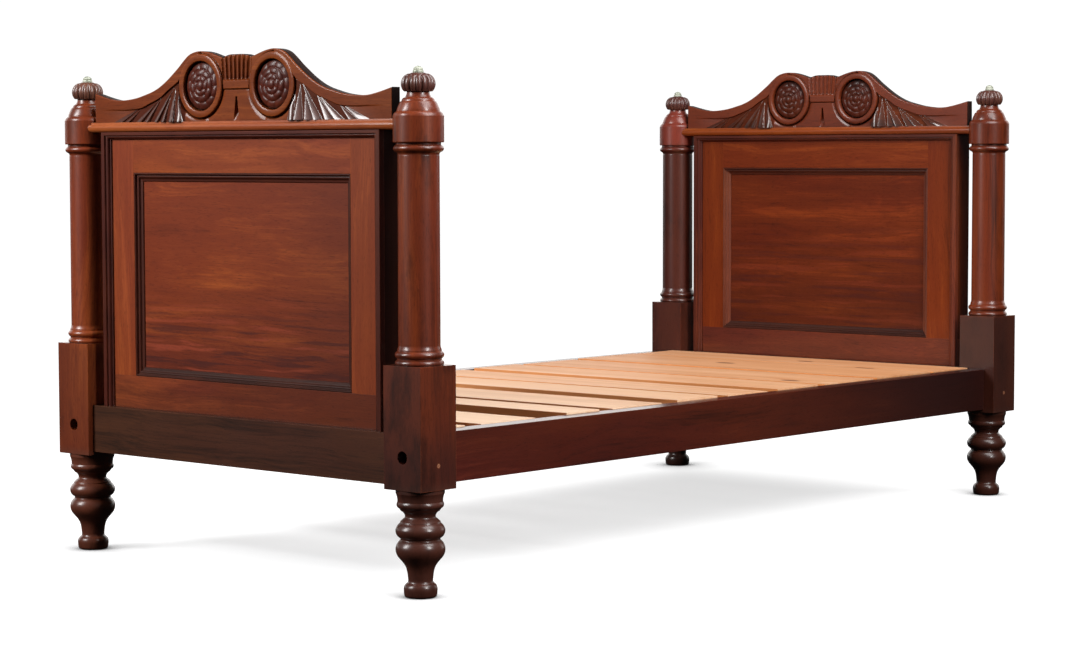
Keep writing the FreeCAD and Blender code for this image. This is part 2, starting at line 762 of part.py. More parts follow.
def make_ledger(side):
    """Strip along the inside of a side rail that carries the boards."""
    face = ledger_face(side)
    reach = inner_half_length - ledger_end_gap
    strip_box = box(face - side * ledger_width, face, -reach, reach, ledger_top - ledger_height, ledger_top)
    return strip_box.cut([screw_hole(side, place) for place in screw_places()])


def make_slats():
    """Boards laid across the ledgers from the foot to the head, uneven in width and thickness."""
    reach = abs(ledger_face(1)) - slat_end_play
    start = -inner_half_length + slat_edge_play
    run = 2 * (inner_half_length - slat_edge_play)
    slats = []
    for foot, width, thick in zip(slat_foot_shares, slat_width_shares, slat_thickness_shares):
        low = start + run * foot
        slats.append(box(-reach, reach, low, low + run * width, ledger_top, ledger_top + slat_thickness * thick))
    return slats


def make_end():
    """Pieces that are alike at both ends, about the plane of the post axes."""
    pieces = {
        "end_rail": make_end_rail(),
        "bottom_rail": make_bottom_rail(),
        "left_stile": make_stile(SIDES["left"]),
        "right_stile": make_stile(SIDES["right"]),
        "top_rail": make_top_rail(),
        "field_panel": make_field(),
        "cap_rail": make_cap_rail(),
        "crest": make_crest(),
    }
    pieces.update(make_borders())
    pieces.update(make_beads())
    return pieces


def make_all():
    parts = {}
    end_pieces = make_end()
    finial = make_finial()
    tip = make_tip()
    tips = []
    for end_name, end in ENDS.items():
        for name, shape in end_pieces.items():
            parts[end_name + "_" + name] = moved(shape, 0, end * half_length, 0)
        for side_name, side in SIDES.items():
            corner = end_name + "_" + side_name
            place = (side * half_width, end * half_length)
            parts[corner + "_post"] = make_post(side, end)
            parts[corner + "_finial"] = moved(finial, place[0], place[1], post_top)
            tips.append(moved(tip, place[0], place[1], post_top + finial_height))
    for side_name, side in SIDES.items():
        parts[side_name + "_side_rail"] = make_side_rail(side)
        parts[side_name + "_ledger"] = make_ledger(side)
    for index, slat in enumerate(make_slats()):
        parts["slat_" + str(index + 1)] = slat
    parts["finial_tips"] = Part.makeCompound(tips)
    parts["crest_dowels"] = make_dowels()
    parts["rail_pegs"] = make_pegs()
    parts["bed_bolts"] = make_bolts()
    parts["bed_nuts"] = make_nuts()
    parts["ledger_screws"] = make_screws()
    return parts


os.makedirs("parts", exist_ok=True)
for part_name, part_shape in make_all().items():
    part_shape.exportStep("parts/" + part_name + ".step")
    print(part_name, len(part_shape.Solids), part_shape.isValid(), round(part_shape.Volume))
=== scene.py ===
import math

import bpy
import numpy as np
from mathutils import Matrix, Vector


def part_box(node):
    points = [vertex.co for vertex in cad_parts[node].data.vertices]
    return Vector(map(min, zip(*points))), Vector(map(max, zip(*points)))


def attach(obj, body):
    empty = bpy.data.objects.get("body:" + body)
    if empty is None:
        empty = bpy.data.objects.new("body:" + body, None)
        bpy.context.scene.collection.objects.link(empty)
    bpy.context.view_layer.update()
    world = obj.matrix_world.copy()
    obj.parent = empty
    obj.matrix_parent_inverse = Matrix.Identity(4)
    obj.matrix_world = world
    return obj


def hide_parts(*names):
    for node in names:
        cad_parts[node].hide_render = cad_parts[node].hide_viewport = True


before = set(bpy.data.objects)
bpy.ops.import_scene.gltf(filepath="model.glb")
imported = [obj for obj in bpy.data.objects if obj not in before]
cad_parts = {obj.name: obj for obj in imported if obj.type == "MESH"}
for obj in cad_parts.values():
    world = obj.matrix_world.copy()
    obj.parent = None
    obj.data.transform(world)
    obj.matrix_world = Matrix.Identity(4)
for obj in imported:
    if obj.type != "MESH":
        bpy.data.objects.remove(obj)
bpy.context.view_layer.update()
scene = bpy.context.scene
scene.view_settings.view_transform = "Standard"
scene.view_settings.look = "None"

X, Y, Z = 0, 1, 2
MM_PER_M = 1000.0
WHITE = (1.0, 1.0, 1.0, 1.0)
ENDS = {"foot": -1, "head": 1}
SIDES = {"left": -1, "right": 1}


def box_middle(node, axis):
    """Middle of a CAD node along an axis, in metres."""
    low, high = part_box(node)
    return round((low[axis] + high[axis]) / 2.0, 4)


def box_far_side(node, axis):
    """Far side of a CAD node along an axis, in metres."""
    return round(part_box(node)[1][axis], 4)


# Places of the bed in metres, read from its solids
POST_X = box_middle("foot_right_post", X)
POST_Y = box_middle("head_right_post", Y)
POST_TOP = box_far_side("foot_right_post", Z)
CAP_TOP = box_far_side("foot_cap_rail", Z)
STILE_OUT = box_far_side("foot_right_stile", X)

# Camera fitted to the photograph: place in metres, turns in degrees, lens and sensor in millimetres
CAMERA_PLACE = (3.9298, -4.5935, 0.8320)
CAMERA_YAW = 41.22
CAMERA_PITCH = 3.67
CAMERA_ROLL = -0.12
CAMERA_LENS = 88.87
CAMERA_SENSOR = 36.0
CAMERA_FAR = 100.0


def toward(azimuth, elevation):
    """Direction toward an azimuth, counted from the foot to the right, and an elevation, in degrees."""
    a, e = math.radians(azimuth), math.radians(elevation)
    return Vector((math.sin(a) * math.cos(e), -math.cos(a) * math.cos(e), math.sin(e)))


def make_camera():
    roll = math.radians(CAMERA_ROLL)
    back = toward(CAMERA_YAW, CAMERA_PITCH)
    right = (-back).cross(Vector((0, 0, 1))).normalized()
    up = right.cross(-back)
    turned_right = math.cos(roll) * right + math.sin(roll) * up
    turned_up = math.cos(roll) * up - math.sin(roll) * right
    data = bpy.data.cameras.new("camera")
    data.sensor_width = CAMERA_SENSOR
    data.lens = CAMERA_LENS
    data.clip_end = CAMERA_FAR
    camera = bpy.data.objects.new("camera", data)
    scene.collection.objects.link(camera)
    turn = Matrix((turned_right, turned_up, back)).transposed().to_4x4()
    camera.matrix_world = Matrix.Translation(CAMERA_PLACE) @ turn
    scene.camera = camera


class Graph:
    """Short way to write the nodes of the world or of a material."""

    def __init__(self, tree):
        self.tree = tree
        self.tree.nodes.clear()

    def node(self, kind, sockets=None, **settings):
        made = self.tree.nodes.new(kind)
        for key, value in settings.items():
            setattr(made, key, value)
        for key, value in (sockets or {}).items():
            self.feed(made.inputs[key], value)
        return made

    def feed(self, socket, value):
        if isinstance(value, bpy.types.NodeSocket):
            self.tree.links.new(value, socket)
        else:
            socket.default_value = value

    def math(self, operation, a, b=0.0, c=0.0):
        return self.node("ShaderNodeMath", {0: a, 1: b, 2: c}, operation=operation).outputs[0]

    def plus(self, a, b):
        return self.math("ADD", a, b)

    def minus(self, a, b):
        return self.math("SUBTRACT", a, b)

    def times(self, a, b):
        return self.math("MULTIPLY", a, b)

    def remap(self, value, low, high, to_low=0.0, to_high=1.0, smooth=True):
        kind = "SMOOTHSTEP" if smooth else "LINEAR"
        sockets = {"Value": value, "From Min": low, "From Max": high, "To Min": to_low, "To Max": to_high}
        return self.node("ShaderNodeMapRange", sockets, interpolation_type=kind).outputs[0]

    def vector(self, x, y, z):
        return self.node("ShaderNodeCombineXYZ", {0: x, 1: y, 2: z}).outputs[0]

    def parts(self, vector):
        return self.node("ShaderNodeSeparateXYZ", {0: vector}).outputs

    def vector_math(self, operation, a, b):
        return self.node("ShaderNodeVectorMath", {0: a, 1: b}, operation=operation)

    def added(self, a, b):
        return self.vector_math("ADD", a, b).outputs[0]

    def agreement(self, a, b):
        """Cosine of the angle between two directions."""
        return self.vector_math("DOT_PRODUCT", a, b).outputs["Value"]


class MaterialGraph(Graph):
    """Nodes of a new material around its shader."""

    def __init__(self, name):
        self.material = bpy.data.materials.new(name)
        self.material.use_nodes = True
        super().__init__(self.material.node_tree)
        self.shader = self.node("ShaderNodeBsdfPrincipled")
        self.node("ShaderNodeOutputMaterial", {0: self.shader.outputs[0]})

    def shade(self, sockets):
        for key, value in sockets.items():
            self.feed(self.shader.inputs[key], value)
        return self.material

    def object_place(self):
        return self.node("ShaderNodeTexCoord").outputs["Object"]

    def face_normal(self):
        return self.node("ShaderNodeNewGeometry").outputs["Normal"]

    def grain_space(self, axis, shift=(0.0, 0.0, 0.0)):
        """Object coordinates turned so that the grain runs along the first, and moved by shift."""
        parts = self.parts(self.object_place())
        first, second, third = {X: (X, Y, Z), Y: (Y, X, Z), Z: (Z, X, Y)}[axis]
        return self.added(self.vector(parts[first], parts[second], parts[third]), shift)

    def pattern(self, place, recipe, push=None):
        """Noise of a recipe: cycles per metre along and across the grain, detail and roughness."""
        grain, detail, rough = recipe
        vector = self.vector_math("MULTIPLY", place, grain).outputs[0]
        if push is not None:
            vector = self.added(vector, push)
        sockets = {"Vector": vector, "Scale": 1.0, "Detail": detail, "Roughness": rough}
        return self.node("ShaderNodeTexNoise", sockets).outputs[0]

    def swing(self, place, recipe, reach):
        """Noise that swings to both sides of zero."""
        return self.times(self.minus(self.pattern(place, recipe), 0.5), reach)

    def mix(self, share, a, b, blend="MIX"):
        made = self.node("ShaderNodeMix", data_type="RGBA", blend_type=blend, clamp_factor=True)
        self.feed(made.inputs[0], share)
        self.feed(made.inputs[6], a)
        self.feed(made.inputs[7], b)
        return made.outputs[2]

    def ramp(self, value, stops, palette):
        made = self.node("ShaderNodeValToRGB", {0: value})
        made.color_ramp.interpolation = "EASE"
        elements = made.color_ramp.elements
        while len(elements) < len(stops):
            elements.new(0.5)
        for element, place, tone in zip(elements, stops, palette):
            element.position = place
            element.color = tone
        return made.outputs[0]

    def rounded(self, radius):
        """Normal with softened edges."""
        return self.node("ShaderNodeBevel", {"Radius": radius}, samples=4).outputs[0]

    def bump(self, height, strength, depth, normal=None):
        sockets = {"Strength": strength, "Distance": depth, "Height": height}
        if normal is not None:
            sockets["Normal"] = normal
        return self.node("ShaderNodeBump", sockets).outputs[0]

    def open_air(self, reach, samples):
        """Share of open air around a point: 1 on free faces, less in corners."""
        return self.node("ShaderNodeAmbientOcclusion", {"Distance": reach}, samples=samples).outputs["AO"]

    def edge_wear(self, radius):
        """Share of wear: 1 on sharp edges, 0 on flat faces."""
        agree = self.agreement(self.rounded(radius), self.face_normal())
        return self.remap(agree, *EDGE_LIMITS)


def colour(red, green, blue):
    """Linear colour of a screen colour given in 0 to 255."""
    parts = []
    for value in (red, green, blue):
        share = value / 255.0
        parts.append(share / 12.92 if share <= 0.04045 else ((share + 0.055) / 1.055) ** 2.4)
    return (parts[0], parts[1], parts[2], 1.0)


def shades(dark, middle, light):
    return colour(*dark), colour(*middle), colour(*light)


def brightened(tone, factor):
    return tuple(min(1.0, part * factor) for part in tone[:3]) + (1.0,)


# Patterns of the hardwood: cycles per metre along and across the grain, detail and roughness
SWAY = ((1.6, 5.0, 5.0), 2.0, 0.55)
STREAKS = ((1.4, 34.0, 34.0), 5.0, 0.62)
FINE_LINES = ((6.0, 240.0, 240.0), 3.0, 0.6)
BROAD_BANDS = ((0.9, 7.0, 7.0), 2.0, 0.5)
CURL = ((2.2, 6.0, 6.0), 3.0, 0.55)
FLAME = ((2.6, 22.0, 22.0), 4.0, 0.6)
WARMTH = ((1.0, 5.5, 5.5), 3.0, 0.6)
RIPPLE_SWAY = ((3.0, 6.0, 6.0), 2.0, 0.55)
RIPPLE_BANDS = ((3.4, 78.0, 78.0), 3.0, 0.5)
PORES = ((70.0, 1300.0, 1300.0), 1.0, 0.5)
PATCHES = ((9.0, 9.0, 9.0), 4.0, 0.65)
SMOKE = ((5.0, 13.0, 13.0), 5.0, 0.68)
SWELL = ((3.0, 12.0, 12.0), 2.0, 0.55)
# Reaches and sizes of the hardwood in metres
SWAY_REACH = 0.10
RIPPLE_SWAY_REACH = 0.028
WEAR_RADIUS = 0.0022
EDGE_RADIUS = 0.0012
GRAIN_DEPTH = 0.0006
# Limits between which a pattern comes in, from none to full
EDGE_LIMITS = (0.999, 0.90)
ORANGE_LIMITS = (0.50, 0.68)
WINE_LIMITS = (0.50, 0.34)
RIPPLE_DARK_LIMITS = (0.47, 0.36)
RIPPLE_BRIGHT_LIMITS = (0.54, 0.66)
PORE_LIMITS = (0.60, 0.72)
SMOKE_LIMITS = (0.46, 0.70)
DIRT_AND_SHADE_LIMITS = (0.72, 0.30)
WEAR_LIMITS = (0.45, 0.68)
# Shares of the hardwood's patterns, and how far the curl pulls the flame along and across the grain
TONE_STOPS = (0.30, 0.50, 0.74)
BROAD_SHARE = 0.62
FINE_SHARE = 0.24
CURL_ALONG = 2.0
CURL_ACROSS = 5.0
PORE_SHARE = 0.45
DIRT_AND_SHADE_SHARE = 0.85
WEAR_SHARES = (0.05, 0.50)
# What patches and pores add to the roughness, and pores, fine lines and swell to the height of the bump
PATCH_ROUGH = 0.16
PORE_ROUGH = 0.12
PORE_HEIGHT = -0.6
FINE_HEIGHT = 0.25
SWELL_HEIGHT = 1.6
BUMP_STRENGTH = 0.10
# Brightness of the dirt and painted shade against the dark tone, and of worn edges against the light one
BLACK_FACTOR = 0.22
WORN_FACTOR = 1.5
# Tints of the orange and the wine-coloured patches in the old polish, and of the ripple's bands
ORANGE = (1.5, 1.75, 1.15, 1.0)
WINE = (0.77, 0.60, 0.95, 1.0)
RIPPLE_DARK = colour(70, 28, 25)
RIPPLE_BRIGHT = colour(166, 72, 46)


def wood_tone(g, space, warped, fine, figure, flame):
    """Lightness of the wood: streaks, broad bands and fine lines, with flame figure where asked."""
    tone = g.times(g.pattern(warped, STREAKS), figure)
    tone = g.plus(tone, g.times(g.pattern(warped, BROAD_BANDS), BROAD_SHARE - figure * 0.5))
    tone = g.plus(tone, g.times(fine, FINE_SHARE))
    if flame:
        curl = g.pattern(space, CURL)
        across = g.times(curl, CURL_ACROSS)
        lick = g.pattern(space, FLAME, g.vector(g.times(curl, CURL_ALONG), across, across))
        tone = g.plus(tone, g.times(g.minus(lick, 0.5), flame))
    return tone


def wood_ripple(g, body, space, height, ripple):
    """Dark and bright bands that come in from a high place to a low one on a panel."""
    low, high, dark_share, bright_share = ripple
    wavy = g.swing(space, RIPPLE_SWAY, RIPPLE_SWAY_REACH)
    bands = g.pattern(g.added(space, g.vector(0.0, wavy, wavy)), RIPPLE_BANDS)
    under = g.remap(height, high, low)
    dark = g.times(under, g.remap(bands, *RIPPLE_DARK_LIMITS, 0.0, dark_share))
    body = g.mix(dark, body, RIPPLE_DARK)
    bright = g.times(under, g.remap(bands, *RIPPLE_BRIGHT_LIMITS, 0.0, bright_share))
    return g.mix(bright, body, RIPPLE_BRIGHT)


def mahogany(name, axis, palette, figure=0.35, gloss=0.46, shift=(0.0, 0.0, 0.0), flame=0.0, patina=0.0,
             hue=0.55, zones=(), coat=0.35, ripple=None, dirt_and_shade_reach=0.010, sheen=0.15, polish=0.15):
    """Polished red-brown hardwood with pores, dirt and painted shade in its corners, and worn edges.

    axis is the way of the grain. figure, flame, hue and patina are the shares of streaks, of curled
    figure, of orange and wine patches and of smoky patches. Each zone is an axis, two places along it
    between which a tint comes in, the tint and its share. The darkening in corners, partly dirt and
    partly painted shade, reaches as far in metres as its argument gives. gloss is the roughness of the
    wood, polish that of the coat over it.
    """
    g = MaterialGraph(name)
    dark, middle, light = palette
    black = brightened(dark, BLACK_FACTOR)
    places = g.parts(g.object_place())
    space = g.grain_space(axis, shift)
    sway = g.swing(space, SWAY, SWAY_REACH)
    warped = g.added(space, g.vector(0.0, sway, sway))
    fine = g.pattern(warped, FINE_LINES)
    body = g.ramp(wood_tone(g, space, warped, fine, figure, flame), TONE_STOPS, (dark, middle, light))
    warmth = g.pattern(warped, WARMTH)
    body = g.mix(g.remap(warmth, *ORANGE_LIMITS, 0.0, hue), body, ORANGE, "MULTIPLY")
    body = g.mix(g.remap(warmth, *WINE_LIMITS, 0.0, hue), body, WINE, "MULTIPLY")
    if ripple:
        body = wood_ripple(g, body, space, places[Z], ripple)
    for along, begin, finish, tint, share in zones:
        body = g.mix(g.remap(places[along], begin, finish, 0.0, share), body, tint)
    pores = g.remap(g.pattern(space, PORES), *PORE_LIMITS)
    body = g.mix(g.times(pores, PORE_SHARE), body, black)
    if patina:
        body = g.mix(g.remap(g.pattern(space, SMOKE), *SMOKE_LIMITS, 0.0, patina), body, black)
    # Darkening in corners and creases where there is little open air: partly dirt, partly painted shade
    if dirt_and_shade_reach:
        corner_dirt_and_shade = g.remap(g.open_air(dirt_and_shade_reach, 4), *DIRT_AND_SHADE_LIMITS, 0.0, DIRT_AND_SHADE_SHARE)
        body = g.mix(corner_dirt_and_shade, body, black)
    patchy = g.pattern(space, PATCHES)
    worn = g.times(g.edge_wear(WEAR_RADIUS), g.remap(patchy, *WEAR_LIMITS, *WEAR_SHARES))
    body = g.mix(worn, body, brightened(light, WORN_FACTOR))
    rough = g.plus(g.times(patchy, PATCH_ROUGH), gloss - PATCH_ROUGH / 2.0)
    rough = g.plus(rough, g.times(pores, PORE_ROUGH))
    height = g.plus(g.times(pores, PORE_HEIGHT), g.times(fine, FINE_HEIGHT))
    height = g.plus(height, g.times(g.pattern(space, SWELL), SWELL_HEIGHT))
    return g.shade({
        "Base Color": body,
        "Roughness": rough,
        "Normal": g.bump(height, BUMP_STRENGTH, GRAIN_DEPTH, g.rounded(EDGE_RADIUS)),
        "Specular IOR Level": sheen,
        "Coat Weight": coat,
        "Coat Roughness": polish,
    })


# Patterns, sizes and tones of the bare softwood
PINE_SWAY = ((2.4, 6.0, 6.0), 2.0, 0.55)
PINE_RINGS = ((0.9, 95.0, 60.0), 3.0, 0.6)
PINE_LINES = ((9.0, 520.0, 320.0), 2.0, 0.5)
PINE_BANDS = ((1.3, 14.0, 14.0), 2.0, 0.5)
PINE_STAINS = ((3.0, 8.0, 8.0), 5.0, 0.7)
PINE_SWAY_ACROSS = 0.035
PINE_SWAY_UP = 0.02
PINE_EDGE_RADIUS = 0.0015
PINE_STOPS = (0.34, 0.50, 0.68)
PINE_RING_SHARE = 0.62
PINE_LINE_SHARE = 0.20
PINE_HEAD_SHADE_SHARE = 0.42
PINE_DEEP_SHARE = 0.42
PINE_FOOT_LIGHT_SHARE = 0.55
PINE_STAIN_SHARE = 0.35
PINE_EDGE_LIGHT_SHARE = 0.9
PINE_KNOT_SHARE = 0.85
PINE_STAIN_LIMITS = (0.50, 0.78)
PINE_EDGE_LIGHT_LIMITS = (0.5, 0.9)
PINE_TONES = shades((192, 132, 90), (226, 178, 138), (240, 208, 176))
PINE_LINE = colour(176, 112, 66)
PINE_HEAD_SHADE = colour(206, 132, 76)
PINE_DEEP = colour(214, 148, 96)
PINE_FOOT_LIGHT = colour(250, 226, 198)
PINE_STAIN = colour(168, 112, 72)
PINE_EDGE_LIGHT = colour(232, 150, 84)
PINE_KNOT = colour(96, 52, 28)
# Places along the bed, in metres, between which the boards take a painted shade towards the head and a
# painted light paleness towards the foot
PINE_HEAD_SHADE_SPAN = (-0.75, 0.85)
PINE_FOOT_LIGHT_SPAN = (0.35, -0.85)
# Reach of each board's own shift of the grain, in metres
BOARD_SHIFT = 7.0
# Knots: place across and along the bed and radius, in metres; they are longer along the grain
KNOTS = [
    (-0.08, 0.684, 0.015), (0.336, 0.382, 0.014), (0.034, 0.863, 0.013),
    (0.273, 0.777, 0.015), (-0.30, -0.28, 0.012), (0.20, -0.57, 0.011),
]
KNOT_STRETCH = 0.45
# Reach of a knot's pull on the grain, the pull itself and the rim of its heart, against its radius
KNOT_REACH = 5.0
KNOT_PULL = 2.2
KNOT_RIM = (0.55, 1.05)


def pine_knots(g, parts):
    """How far the knots push the grain aside, and the share of dark heart at a place."""
    push = 0.0
    heart = 0.0
    for x, y, size in KNOTS:
        dx = g.times(g.minus(parts[X], x), KNOT_STRETCH)
        dy = g.minus(parts[Y], y)
        away = g.math("SQRT", g.plus(g.times(dx, dx), g.times(dy, dy)))
        near = g.remap(away, 0.0, size * KNOT_REACH, 1.0, 0.0)
        push = g.plus(push, g.times(near, g.times(g.math("SIGN", dy), size * KNOT_PULL)))
        spot = g.remap(away, size * KNOT_RIM[0], size * KNOT_RIM[1], 1.0, 0.0)
        heart = g.math("MAXIMUM", heart, spot)
    return push, heart


def pine(name):
    """Bare softwood boards with grain across the bed, knots, a tone of their own for each board, painted
    shade towards the head, and painted light towards the foot and on their sawn edges.
    """
    g = MaterialGraph(name)
    space = g.grain_space(X)
    parts = g.parts(space)
    chance = g.node("ShaderNodeObjectInfo").outputs["Random"]
    push, heart = pine_knots(g, parts)
    moved = g.added(space, g.vector(g.times(chance, BOARD_SHIFT), push, 0.0))
    sway = g.minus(g.pattern(moved, PINE_SWAY), 0.5)
    bent = g.added(moved, g.vector(0.0, g.times(sway, PINE_SWAY_ACROSS), g.times(sway, PINE_SWAY_UP)))
    rings = g.pattern(bent, PINE_RINGS)
    fine = g.pattern(bent, PINE_LINES)
    bands = g.pattern(bent, PINE_BANDS)
    tone = g.plus(g.times(rings, PINE_RING_SHARE), g.times(bands, 1.0 - PINE_RING_SHARE))
    body = g.ramp(tone, PINE_STOPS, PINE_TONES)
    body = g.mix(g.times(fine, PINE_LINE_SHARE), body, PINE_LINE)
    # Painted shade: the boards grow darker and more orange towards the head
    body = g.mix(g.remap(parts[Y], *PINE_HEAD_SHADE_SPAN, 0.0, PINE_HEAD_SHADE_SHARE), body, PINE_HEAD_SHADE)
    body = g.mix(g.times(chance, PINE_DEEP_SHARE), body, PINE_DEEP)
    # Painted light: the boards grow paler towards the foot
    body = g.mix(g.remap(parts[Y], *PINE_FOOT_LIGHT_SPAN, 0.0, PINE_FOOT_LIGHT_SHARE), body, PINE_FOOT_LIGHT)
    stains = g.remap(g.pattern(space, PINE_STAINS), *PINE_STAIN_LIMITS, 0.0, PINE_STAIN_SHARE)
    body = g.mix(stains, body, PINE_STAIN)
    body = g.mix(g.times(heart, PINE_KNOT_SHARE), body, PINE_KNOT)
    # Sawn edges facing along the bed: partly the sawn wood's own orange, partly painted light standing in
    # for light reaching into the gaps between boards
    sideways = g.math("ABSOLUTE", g.parts(g.face_normal())[Y])
    body = g.mix(g.remap(sideways, *PINE_EDGE_LIGHT_LIMITS, 0.0, PINE_EDGE_LIGHT_SHARE), body, PINE_EDGE_LIGHT)
    height = g.plus(g.times(rings, 0.8), g.times(fine, 0.7))
    return g.shade({
        "Base Color": body,
        "Roughness": g.plus(g.times(rings, 0.2), 0.50),
        "Normal": g.bump(height, 0.25, GRAIN_DEPTH, g.rounded(PINE_EDGE_RADIUS)),
        "Specular IOR Level": 0.35,
    })


SPECKS = ((500.0, 500.0, 500.0), 3.0, 0.6)
SPECK_STOPS = (0.35, 0.50, 0.66)
SPECK_TONES = shades((96, 52, 32), (136, 84, 56), (168, 116, 84))
SPECK_DEPTH = 0.0004


def pale_wood(name):
    """Bare end grain of pegs and dowels."""
    g = MaterialGraph(name)
    specks = g.pattern(g.grain_space(X), SPECKS)
    return g.shade({
        "Base Color": g.ramp(specks, SPECK_STOPS, SPECK_TONES),
        "Roughness": g.plus(g.times(specks, 0.25), 0.45),
        "Normal": g.bump(specks, 0.3, SPECK_DEPTH),
    })


BLOOM = ((160.0, 160.0, 160.0), 5.0, 0.65)
BLOOM_DEPTH = 0.0008
BRASS_SPOTS = ((420.0, 420.0, 420.0), 3.0, 0.55)
BRASS_BARE = colour(158, 164, 146)
BRASS_CHALKY = colour(196, 198, 182)
BRASS_SPOTTED = colour(124, 124, 104)


def worn_brass(name):
    """Pale metal under a chalky bloom with dark spots."""
    g = MaterialGraph(name)
    space = g.grain_space(Z)
    bloom = g.pattern(space, BLOOM)
    chalky = g.remap(bloom, 0.40, 0.62)
    body = g.mix(chalky, BRASS_BARE, BRASS_CHALKY)
    body = g.mix(g.remap(g.pattern(space, BRASS_SPOTS), 0.58, 0.74), body, BRASS_SPOTTED)
    return g.shade({
        "Base Color": body,
        "Metallic": g.times(g.minus(1.0, chalky), 0.35),
        "Roughness": g.plus(g.times(bloom, 0.35), 0.30),
        "Normal": g.bump(bloom, 0.35, BLOOM_DEPTH),
    })


RUST = ((130.0, 130.0, 130.0), 5.0, 0.7)
RUST_DEPTH = 0.0005
BRUSH_LINES = ((30.0, 900.0, 900.0), 2.0, 0.55)
STEEL_BARE = colour(118, 112, 106)
STEEL_RUSTY = colour(74, 42, 26)


def dull_steel(name):
    """Brushed steel with patches of rust."""
    g = MaterialGraph(name)
    space = g.grain_space(Y)
    rust = g.remap(g.pattern(space, RUST), 0.46, 0.66)
    brushed = g.pattern(space, BRUSH_LINES)
    return g.shade({
        "Base Color": g.mix(rust, STEEL_BARE, STEEL_RUSTY),
        "Metallic": g.minus(1.0, g.times(rust, 0.8)),
        "Roughness": g.plus(g.times(rust, 0.35), g.times(brushed, 0.4)),
        "Normal": g.bump(rust, 0.3, RUST_DEPTH),
    })


def add_mesh(name, points, faces, materials, sharp_angle):
    """New smooth-shaded piece of the frame, with sharp edges where faces meet at more than an angle."""
    mesh = bpy.data.meshes.new(name)
    mesh.from_pydata([tuple(p) for p in points], [], faces)
    mesh.update()
    mesh.polygons.foreach_set("use_smooth", [True] * len(mesh.polygons))
    for material in materials:
        mesh.materials.append(material)
    piece = bpy.data.objects.new(name, mesh)
    scene.collection.objects.link(piece)
    mesh.set_sharp_from_angle(angle=math.radians(sharp_angle))
    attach(piece, "frame")
    return piece


def quads(a, b, c, d):
    """Faces with four corners from four arrays of point numbers."""
    return zip(a.tolist(), b.tolist(), c.tolist(), d.tolist())


def held(value):
    return np.clip(value, 0.0, 1.0)


def ease(value, low, high):
    """Smooth step from 0 at low to 1 at high."""
    share = held((value - low) / (high - low))
    return share * share * (3.0 - 2.0 * share)


def round_top(value):
    """Half circle: 1 at 0, falling to 0 at 1 and -1."""
    return np.sqrt(held(1.0 - value**2))


def smooth_line(points, at):
    """Smooth curve through points, read at the given places."""
    x = np.array([p[0] for p in points], float)
    y = np.array([p[1] for p in points], float)
    step = np.diff(x)
    slope = np.diff(y) / step
    lean = np.zeros(len(x))
    lean[1:-1] = (slope[:-1] * step[1:] + slope[1:] * step[:-1]) / (step[1:] + step[:-1])
    lean[0], lean[-1] = slope[0], slope[-1]
    index = np.clip(np.searchsorted(x, at) - 1, 0, len(step) - 1)
    h = step[index]
    t = (at - x[index]) / h
    a, b = y[index], y[index + 1]
    m, n = lean[index] * h, lean[index + 1] * h
    begin = a * (2 * t**3 - 3 * t**2 + 1) + m * (t**3 - 2 * t**2 + t)
    return begin + b * (3 * t**2 - 2 * t**3) + n * (t**3 - t**2)


# Crest, in millimetres from the middle of the cap rail's top, carved face to the foot
CREST_HALF = 430.0
CREST_HEIGHT = 140.0
CREST_FACE = 20.0
CREST_SHARP_ANGLE = 50.0
CREST_COLUMNS = 1241
CREST_ROWS = 232
# Bands behind the face: depth and inset of the top edge
CREST_BANDS = [(-15.0, 0.0), (2.4, 0.0), (4.0, 1.6)]
ARRIS = 2.4
ARRIS_END = 1.2
# Outline of the top as shares of half the width and of the height, from the middle outward
FAN_END = 43.0
FAN_SHARES = [(0.0, 0.94), (0.05, 0.936), (0.10, 0.898)]
SCROLL_SHARES = [
    (0.10, 0.898), (0.121, 0.918), (0.163, 0.958), (0.205, 0.988), (0.242, 1.0), (0.284, 0.989),
    (0.326, 0.945), (0.36, 0.871), (0.395, 0.782), (0.433, 0.696), (0.47, 0.616), (0.51, 0.541),
    (0.547, 0.484), (0.586, 0.439), (0.628, 0.404), (0.698, 0.355), (0.744, 0.336), (0.802, 0.324),
    (0.851, 0.328), (0.895, 0.349), (0.94, 0.379), (1.0, 0.425),
]
# Leaf: ridges cut below the scroll, each with the place of its point, both ends of its foot and its strength
RIDGES = [
    (170.0, 57.0, 152.0, 173.0, 1.0), (181.0, 68.0, 175.0, 198.0, 1.0), (196.0, 50.0, 203.0, 225.0, 1.0),
    (184.5, 74.0, 226.0, 247.0, 1.0), (224.0, 51.0, 256.0, 279.0, 1.0), (233.0, 46.0, 280.0, 304.0, 0.8),
    (286.0, 29.5, 318.0, 340.0, 0.9), (294.0, 29.0, 341.0, 372.0, 0.5),
]
RIDGE_CROWN = 5.5
RIDGE_CROWN_SHARE = 0.24
RIDGE_EDGE_SHARE = 0.10
SCROLL_FOOT = [
    (140, 104), (160, 92), (171, 82), (183, 75), (200, 66), (225, 51), (255, 40), (285, 30), (330, 26.5),
    (370, 27), (430, 27),
]
LEAF_BEGIN = (146.0, 170.0)
LEAF_END = (415.0, 310.0)
LEAF_STEP = 4.5
LEAF_STEP_WIDTH = 3.0
LEAF_SLOPE = 0.15
GROUND_BEGIN = 150.0
GROUND_END = 372.0
GROUND_LEAN = 2.6
